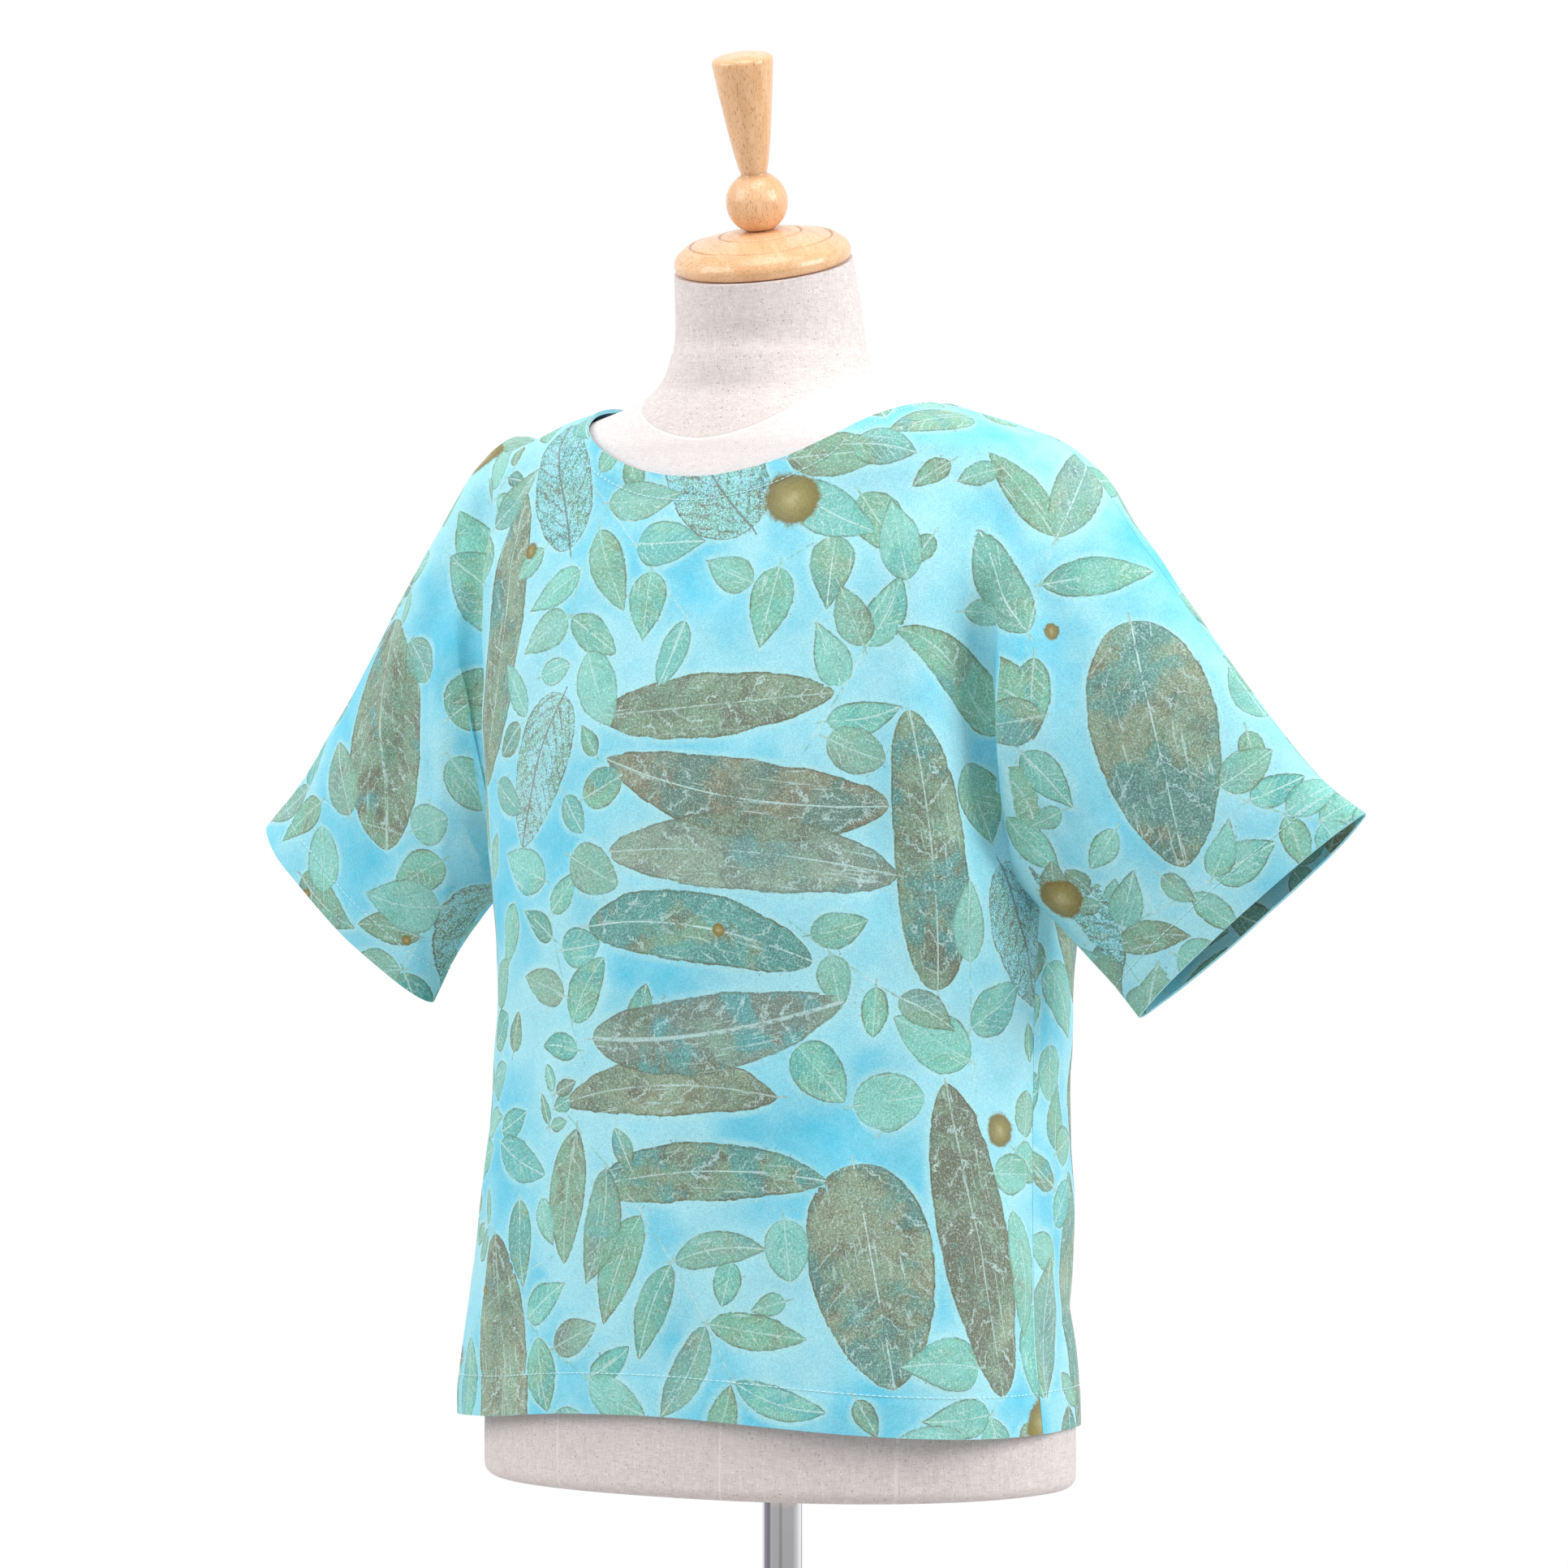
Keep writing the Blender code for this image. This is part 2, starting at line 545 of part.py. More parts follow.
def add_turned(name, profile, finish, sides=TURNED_SIDES):
    # A profile of radius and height, from its top on the axis down its outer side to the axis again
    mesh = bpy.data.meshes.new(name)
    points = [(radius, 0.0, height) for radius, height in profile]
    mesh.from_pydata(points, [(k, k + 1) for k in range(len(points) - 1)], [])
    mesh.materials.append(finish)
    made = bpy.data.objects.new(name, mesh)
    bpy.data.collections[COLLECTION].objects.link(made)
    screw = made.modifiers.new("turned", "SCREW")
    screw.steps = sides
    screw.render_steps = sides
    screw.use_merge_vertices = True
    screw.merge_threshold = 0.00001
    screw.use_smooth_shade = True
    return made


def neck_frame(rise):
    # The centre and the slope of the neck's axis at this height above the neck's base
    bend = np.minimum(rise / NECK_BEND_RISE, 1.0)
    shift = np.where(
        rise < NECK_BEND_RISE, 0.5 * rise**2 / NECK_BEND_RISE, rise - 0.5 * NECK_BEND_RISE
    )
    base_y = float(form_size("middle", NECK_BASE_Z))
    centre = np.array([LEAN_LEFT * shift, base_y - LEAN_FRONT * shift, NECK_BASE_Z + rise])
    return centre, LEAN_LEFT * bend, -LEAN_FRONT * bend


def form_ring(height):
    # One level section of the torso, with the lower edge rounded
    turn = np.linspace(0.0, 2.0 * math.pi, FORM_SIDES, endpoint=False)
    above = max(FORM_EDGE_RADIUS - (height - FORM_BOTTOM_Z), 0.0)
    inset = FORM_EDGE_RADIUS - math.sqrt(FORM_EDGE_RADIUS**2 - above**2)
    squeeze = 2.0 / float(form_size("power", height))
    cosine, sine = np.cos(turn), np.sin(turn)
    half = float(form_size("half", height)) - inset
    depth = np.where(sine < 0.0, form_size("front", height), form_size("back", height)) - inset
    x = half * np.sign(cosine) * np.abs(cosine) ** squeeze
    y = float(form_size("middle", height)) + depth * np.sign(sine) * np.abs(sine) ** squeeze
    return np.stack([x, y, np.full_like(x, height)], axis=-1)


def neck_ring(rise):
    # One round section of the neck, square to its axis
    turn = np.linspace(0.0, 2.0 * math.pi, FORM_SIDES, endpoint=False)
    radius = float(read_table(NECK_SECTIONS, NECK_COLUMNS_OF, "radius", rise))
    centre, slope_x, slope_y = neck_frame(np.float64(rise))
    x = radius * np.cos(turn)
    y = radius * np.sin(turn)
    return centre + np.stack([x, y, -slope_x * x - slope_y * y], axis=-1)


def add_torso(finish):
    edge = FORM_BOTTOM_Z + FORM_EDGE_RADIUS * (1.0 - np.cos(np.radians([0.0, 35.0, 62.0, 90.0])))
    levels = column(FORM_SECTIONS, FORM_COLUMNS, "height")
    body = levels[(levels > edge[-1]) & (levels < NECK_BASE_Z - 1e-6)]
    between = 0.5 * (body[:-1] + body[1:])
    between = between[np.diff(body) > 0.030]
    heights = np.sort(np.concatenate([edge, body, between]))
    rings = [form_ring(height) for height in heights]
    rings += [neck_ring(rise) for rise in np.linspace(0.004, NECK_TOP_RISE, 6)]
    faces = []
    for ring in range(len(rings) - 1):
        for side in range(FORM_SIDES):
            first = ring * FORM_SIDES + side
            following = ring * FORM_SIDES + (side + 1) % FORM_SIDES
            faces.append((first, following, following + FORM_SIDES, first + FORM_SIDES))
    faces.append(tuple(range(FORM_SIDES - 1, -1, -1)))
    faces.append(tuple((len(rings) - 1) * FORM_SIDES + side for side in range(FORM_SIDES)))
    return add_object("torso", np.concatenate(rings), faces, finish)


def arc(centre, radius, start, end, count):
    turns = np.radians(np.linspace(start, end, count))
    return [(centre[0] + radius * math.cos(t), centre[1] + radius * math.sin(t)) for t in turns]


def cap_profile():
    # A turned disc with a flat seat for the ball, two fine grooves and a rounded rim
    top = CAP_HEIGHT
    rim = 0.5 * CAP_DIAMETER
    profile = [(0.0, top), (0.0118, top), (0.0138, top - 0.0003)]
    for groove, depth in CAP_GROOVES:
        profile += [(groove - 0.0011, depth + 0.0009), (groove, depth), (groove + 0.0010, depth + 0.0005)]
    for inset, height in CAP_RIM:
        profile.append((rim - inset, height))
    profile.append((0.0, 0.0))
    return profile


def finial_profile():
    # A ball cut flat at its foot, under a handle that widens to a domed head
    ball = 0.5 * BALL_DIAMETER
    foot = 0.5 * HANDLE_FOOT_DIAMETER
    head = 0.5 * HANDLE_HEAD_DIAMETER
    centre = ball - BALL_SINK
    waist = math.degrees(math.acos(foot / ball))
    low = math.degrees(math.asin(-centre / ball))
    waist_z = centre + ball * math.sin(math.radians(waist))
    head_z = waist_z + HANDLE_LENGTH
    profile = [(0.0, head_z + 0.0012), (0.55 * head, head_z + 0.0009), (0.90 * head, head_z - 0.0006)]
    profile += [(0.99 * head, head_z - 0.0022), (head, head_z - 0.0045)]
    for share in (0.80, 0.60, 0.40, 0.20, 0.08):
        widening = share**0.75
        profile.append((foot + (head - foot) * widening, waist_z + HANDLE_LENGTH * share * 0.93))
    profile += arc((0.0, centre), ball, waist, low, 11)
    profile.append((0.0, 0.0))
    return profile


def base_profile():
    radius = 0.5 * BASE_DIAMETER
    edge = BASE_EDGE_RADIUS
    profile = [(0.0, BASE_THICKNESS)]
    profile += arc((radius - edge, BASE_THICKNESS - edge), edge, 90.0, 0.0, 5)
    profile += [(radius, 0.0010), (radius - 0.0010, 0.0), (0.0, 0.0)]
    return profile


def place_on_neck(made, above):
    # Stands a turned piece on the neck's axis, at this distance above the neck's top
    centre, slope_x, slope_y = neck_frame(np.float64(NECK_TOP_RISE))
    axis = np.array([slope_x, slope_y, 1.0])
    axis /= np.linalg.norm(axis)
    made.location = centre + axis * above
    made.rotation_euler = (math.asin(-axis[1]), math.atan2(axis[0], axis[2]), 0.0)
    made.rotation_mode = "XYZ"


def add_pole(finish):
    length = FORM_BOTTOM_Z - BASE_THICKNESS - 2.0 * REST_GAP
    middle = BASE_THICKNESS + REST_GAP + 0.5 * length
    bpy.ops.mesh.primitive_cylinder_add(
        vertices=32, radius=0.5 * POLE_DIAMETER, depth=length, location=(0.0, 0.0, middle)
    )
    made = bpy.context.object
    made.name = "pole"
    made.data.materials.append(finish)
    made.data.shade_smooth()
    made.data.set_sharp_from_angle(angle=math.radians(40.0))
    for holder in list(made.users_collection):
        holder.objects.unlink(made)
    bpy.data.collections[COLLECTION].objects.link(made)
    return made


def build():
    for old in list(bpy.data.objects):
        bpy.data.objects.remove(old, do_unlink=True)
    bpy.context.scene.collection.children.link(bpy.data.collections.new(COLLECTION))
    cloth = material("printed_cotton", (0.42, 0.72, 0.74), 0.85)
    linen = material("linen_cover", (0.78, 0.73, 0.68), 0.90)
    wood = material("varnished_wood", (0.78, 0.47, 0.21), 0.32)
    chrome = material("chromed_steel", (0.72, 0.73, 0.75), 0.12, 1.0)
    for panel in ("front", "back"):
        points, faces = panel_mesh(panel)
        add_object(f"{panel}_panel", points, faces, cloth)
    add_torso(linen)
    place_on_neck(add_turned("neck_cap", cap_profile(), wood), REST_GAP)
    place_on_neck(add_turned("finial", finial_profile(), wood, 28), CAP_HEIGHT + 2.0 * REST_GAP)
    add_pole(chrome)
    add_turned("base_plate", base_profile(), chrome, 56)


build()
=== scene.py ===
import math

import bpy
import numpy as np
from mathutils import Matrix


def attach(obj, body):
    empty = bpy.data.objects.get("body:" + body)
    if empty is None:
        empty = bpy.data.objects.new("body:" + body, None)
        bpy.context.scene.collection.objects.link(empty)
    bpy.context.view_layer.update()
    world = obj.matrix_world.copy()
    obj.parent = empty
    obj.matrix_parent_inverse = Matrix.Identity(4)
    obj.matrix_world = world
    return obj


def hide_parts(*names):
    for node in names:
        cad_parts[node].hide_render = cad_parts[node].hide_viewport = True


# A boxy blouse with half sleeves cut in one with the body, worn by a limbless dress form on a pole.
# Metres. +X is the wearer's left, -Y the front and +Z up, with the floor at z = 0.

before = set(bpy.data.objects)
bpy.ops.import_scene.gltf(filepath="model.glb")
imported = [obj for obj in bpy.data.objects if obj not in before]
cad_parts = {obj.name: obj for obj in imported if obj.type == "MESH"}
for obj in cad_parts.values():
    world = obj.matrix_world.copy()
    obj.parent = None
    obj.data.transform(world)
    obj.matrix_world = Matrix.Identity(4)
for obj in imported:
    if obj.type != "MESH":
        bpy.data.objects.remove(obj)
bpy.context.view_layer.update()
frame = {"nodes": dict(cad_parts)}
print("frame loaded:", ", ".join(frame["nodes"]))


view = {"turn": 35.0, "distance": 4.0, "height": 1.17, "lens": 165.63, "shift": 0.001}


def addCamera():
    turn = math.radians(view["turn"])
    lens = bpy.data.cameras.new("mainView")
    lens.lens = view["lens"]
    lens.sensor_width = 36.0
    lens.shift_x = view["shift"]
    camera = bpy.data.objects.new("mainView", lens)
    camera.location = (view["distance"] * math.sin(turn), -view["distance"] * math.cos(turn), view["height"])
    camera.rotation_euler = (math.radians(90.0), 0.0, turn)
    bpy.context.scene.collection.objects.link(camera)
    bpy.context.scene.camera = camera


class Wire:
    # A node's output. Sums on it add Math nodes, and join adds any node.
    def __init__(self, tree, socket=None):
        self.tree, self.socket = tree, socket

    def join(self, kind, settings=None, sockets=None, out=0):
        node = self.tree.nodes.new(kind)
        for name, value in (settings or {}).items():
            if name == "stops":
                for place, (position, color) in enumerate(value):
                    elements = node.color_ramp.elements
                    stop = elements[place] if place < len(elements) else elements.new(position)
                    stop.position = position
                    stop.color = (*color, 1.0)
            else:
                setattr(node, name, value)
        for name, value in (sockets or {}).items():
            if isinstance(value, Wire):
                self.tree.links.new(value.socket, node.inputs[name])
            else:
                node.inputs[name].default_value = value
        return Wire(self.tree, node.outputs[out])

    def other(self, out):
        return Wire(self.tree, self.socket.node.outputs[out])

    def math(self, operation, *values):
        return self.join("ShaderNodeMath", {"operation": operation}, dict(enumerate(values)))

    def size(self):
        return self.math("ABSOLUTE", self)

    def least(self, value):
        return self.math("MINIMUM", self, value)

    def most(self, value):
        return self.math("MAXIMUM", self, value)

    def rise(self, low, high):
        # From 0 at low to 1 at high, eased at both ends
        ends = {"Value": self, "From Min": low, "From Max": high}
        return self.join("ShaderNodeMapRange", {"interpolation_type": "SMOOTHSTEP"}, ends)

    def fall(self, low, high):
        return 1.0 - self.rise(low, high)

    def noise(self, scale, detail=2.0, roughness=0.5, distortion=0.0):
        # A scale for each of the three directions, or one for all
        if isinstance(scale, tuple):
            return self.scaled(*scale).noise(1.0, detail, roughness, distortion)
        values = {"Vector": self, "Scale": scale, "Detail": detail, "Roughness": roughness}
        return self.join("ShaderNodeTexNoise", {}, {**values, "Distortion": distortion})

    def split(self):
        first = self.join("ShaderNodeSeparateXYZ", {}, {0: self})
        return first, first.other(1), first.other(2)

    def scaled(self, x, y, z):
        return self.join("ShaderNodeVectorMath", {"operation": "MULTIPLY"}, {0: self, 1: (x, y, z)})

    def attribute(self, name, out=2):
        # What the mesh says under this name: output 1 is a vector and 2 a number
        return self.join("ShaderNodeAttribute", {"attribute_name": name}, out=out)

    def mix(self, first, second):
        # A colour from first to second, with this wire as the share
        return self.join("ShaderNodeMix", {"data_type": "RGBA"}, {0: self, 6: paint(first), 7: paint(second)}, 2)

    def ramp(self, stops):
        return self.join("ShaderNodeValToRGB", {"stops": stops}, {0: self})

    def fraction(self):
        return self.math("FRACT", self)

    def whole(self):
        return self.math("FLOOR", self)


for symbol, operation in (("add", "ADD"), ("sub", "SUBTRACT"), ("mul", "MULTIPLY"), ("truediv", "DIVIDE"),
                          ("pow", "POWER")):
    setattr(Wire, f"__{symbol}__", lambda self, value, operation=operation: self.math(operation, self, value))
    setattr(Wire, f"__r{symbol}__", lambda self, value, operation=operation: self.math(operation, value, self))


def paint(color):
    # A wire, one of the print's colours by its name, or a colour
    if isinstance(color, Wire):
        return color
    return (*(printColors[color] if isinstance(color, str) else color), 1.0)


def turnsAround(count):
    return np.linspace(0.0, 2.0 * math.pi, count, endpoint=False)


def startMaterial(name, fixed):
    # A new material with these constants, and the object's own coordinates
    made = bpy.data.materials.new(name)
    made.use_nodes = True
    shader = made.node_tree.nodes["Principled BSDF"]
    for socket, value in fixed.items():
        shader.inputs[socket].default_value = value
    return made, Wire(made.node_tree).join("ShaderNodeTexCoord", out="Object")


def finishMaterial(made, color, roughness, height, distance, strength=1.0):
    # Colour, roughness and a bump of this height go to the shader
    tree = made.node_tree
    shader = tree.nodes["Principled BSDF"]
    tree.links.new(color.socket, shader.inputs["Base Color"])
    tree.links.new(roughness.socket, shader.inputs["Roughness"])
    bump = height.join("ShaderNodeBump", {}, {"Strength": strength, "Distance": distance, "Height": height})
    tree.links.new(bump.socket, shader.inputs["Normal"])
    return made


studio = {
    "behind": 1.0,  # the pale backdrop, and how bright the studio is on the camera's side
    "front": 0.44,
    "aimZ": 1.1,
    "floorRadius": 3.0,
    "floorSides": 96,
    "floorZ": -0.0005,
    "lights": (  # turn from the front, height, distance, size, watts
        ("key", 98.0, 2.4, 2.9, 1.7, 60.0),
        ("fill", -32.0, 2.6, 2.9, 2.0, 45.0),
        ("top", 35.0, 3.4, 0.9, 1.6, 25.0),
    ),
}


def addLight():
    scene = bpy.context.scene
    scene.view_settings.view_transform = "Standard"
    world = bpy.data.worlds.new("studio")
    scene.world = world
    world.use_nodes = True
    across, depth, _ = Wire(world.node_tree).join("ShaderNodeTexCoord", out="Generated").split()
    turn = math.radians(view["turn"])
    toCamera = across * math.sin(turn) - depth * math.cos(turn)
    backdrop = toCamera.rise(-0.75, 0.6).mix((studio["behind"],) * 3, (studio["front"],) * 3)
    world.node_tree.links.new(backdrop.socket, world.node_tree.nodes["Background"].inputs["Color"])
    for name, around, height, distance, size, watts in studio["lights"]:
        lamp = bpy.data.lights.new(name, "AREA")
        lamp.energy = watts
        lamp.size = size
        made = bpy.data.objects.new(name, lamp)
        angle = math.radians(around)
        made.location = (distance * math.sin(angle), -distance * math.cos(angle), height)
        made.rotation_euler = (math.atan2(distance, height - studio["aimZ"]), 0.0, angle)
        scene.collection.objects.link(made)


def addFloor():
    # A pale disc under the stand
    sides, radius = studio["floorSides"], studio["floorRadius"]
    turn = turnsAround(sides)
    ring = np.stack([radius * np.cos(turn), radius * np.sin(turn), np.full(sides, studio["floorZ"])], axis=-1)
    made, place = startMaterial("paleFloor", {"Specular IOR Level": 0.2})
    tone = place.noise(1.5).mix((0.53, 0.53, 0.53), (0.59, 0.59, 0.59))
    finishMaterial(made, tone, place.noise(30.0) * 0.1 + 0.7, place.noise(200.0), 0.0003, 0.2)
    addMesh("floor", ring, [tuple(range(sides))], made)


def addMesh(name, points, faces, finish, sharp=40.0):
    mesh = bpy.data.meshes.new(name)
    mesh.from_pydata(np.asarray(points).tolist(), [], faces if isinstance(faces, list) else faces.tolist())
    mesh.shade_smooth()
    mesh.set_sharp_from_angle(angle=math.radians(sharp))
    mesh.materials.append(finish)
    made = bpy.data.objects.new(name, mesh)
    bpy.context.scene.collection.objects.link(made)
    return made


def addPiece(name, points, faces, finish, slot, *nodes, sharp=40.0):
    # A piece of the object, which stands for these nodes of the frame
    made = addMesh(name, points, faces, finish, sharp)
    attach(made, "root")
    if nodes:
        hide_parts(*nodes)
    return made


def ringFaces(rings, sides):
    # Quads between closed rings that follow each other upwards, facing outwards
    first = (np.arange(rings - 1)[:, None] * sides + np.arange(sides)).ravel()
    following = (np.arange(rings - 1)[:, None] * sides + (np.arange(sides) + 1) % sides).ravel()
    return np.stack([first, following, following + sides, first + sides], axis=-1)


dressForm = {
    "bottomZ": 0.785,
    "edgeRadius": 0.007,
    "shoulderZ": 1.342,
    "neckBaseZ": 1.407,
    "neckRise": 0.049,  # height of the neck above its base
    "neckBend": 0.03,  # the neck bends forward over this height
    "leanLeft": 0.066,
    "leanFront": 0.277,
    "sides": 240,
    "rings": (110, 40, 16),  # trunk, shoulder and neck
    "sections": {
        "height": (0.785, 0.82, 0.86, 0.905, 0.95, 0.985, 1.03, 1.08, 1.13, 1.175, 1.22, 1.265, 1.3,
            1.325, 1.342, 1.351, 1.358, 1.364, 1.369, 1.3735, 1.378, 1.382, 1.387, 1.393, 1.4, 1.407),
        "half": (0.175, 0.1755, 0.173, 0.162, 0.144, 0.134, 0.137, 0.147, 0.154, 0.156, 0.158, 0.165,
            0.173, 0.178, 0.1785, 0.175, 0.163, 0.147, 0.13, 0.112, 0.094, 0.081, 0.0705, 0.0625,
            0.0575, 0.055),
        "middle": (0, 0, 0, 0, 0, 0, 0, 0, 0, 0, 0, 0, 0, 0, 0, 0, -0.001, -0.001, -0.002, -0.003,
            -0.005, -0.007, -0.009, -0.011, -0.012, -0.012),
        "front": (0.13, 0.13, 0.126, 0.115, 0.102, 0.097, 0.102, 0.115, 0.124, 0.122, 0.114, 0.103,
            0.094, 0.088, 0.084, 0.081, 0.078, 0.075, 0.072, 0.069, 0.065, 0.061, 0.0573, 0.0554,
            0.0545, 0.054),
        "back": (0.11, 0.11, 0.11, 0.106, 0.096, 0.09, 0.09, 0.094, 0.1, 0.104, 0.106, 0.104, 0.098,
            0.091, 0.084, 0.079, 0.074, 0.07, 0.066, 0.062, 0.058, 0.0555, 0.0545, 0.0541, 0.0539, 0.0537),
        "power": (2.25, 2.22, 2.2, 2.2, 2.2, 2.15, 2.1, 2.1, 2.1, 2.15, 2.2, 2.25, 2.3, 2.3, 2.25, 2.2,
            2.1, 2.05, 2, 2, 2, 2, 2, 2, 2, 2),
    },
    "neck": {
        "rise": (0, 0.008, 0.018, 0.03, 0.049),
        "radius": (0.054, 0.0527, 0.0518, 0.0508, 0.0492),
    },
}

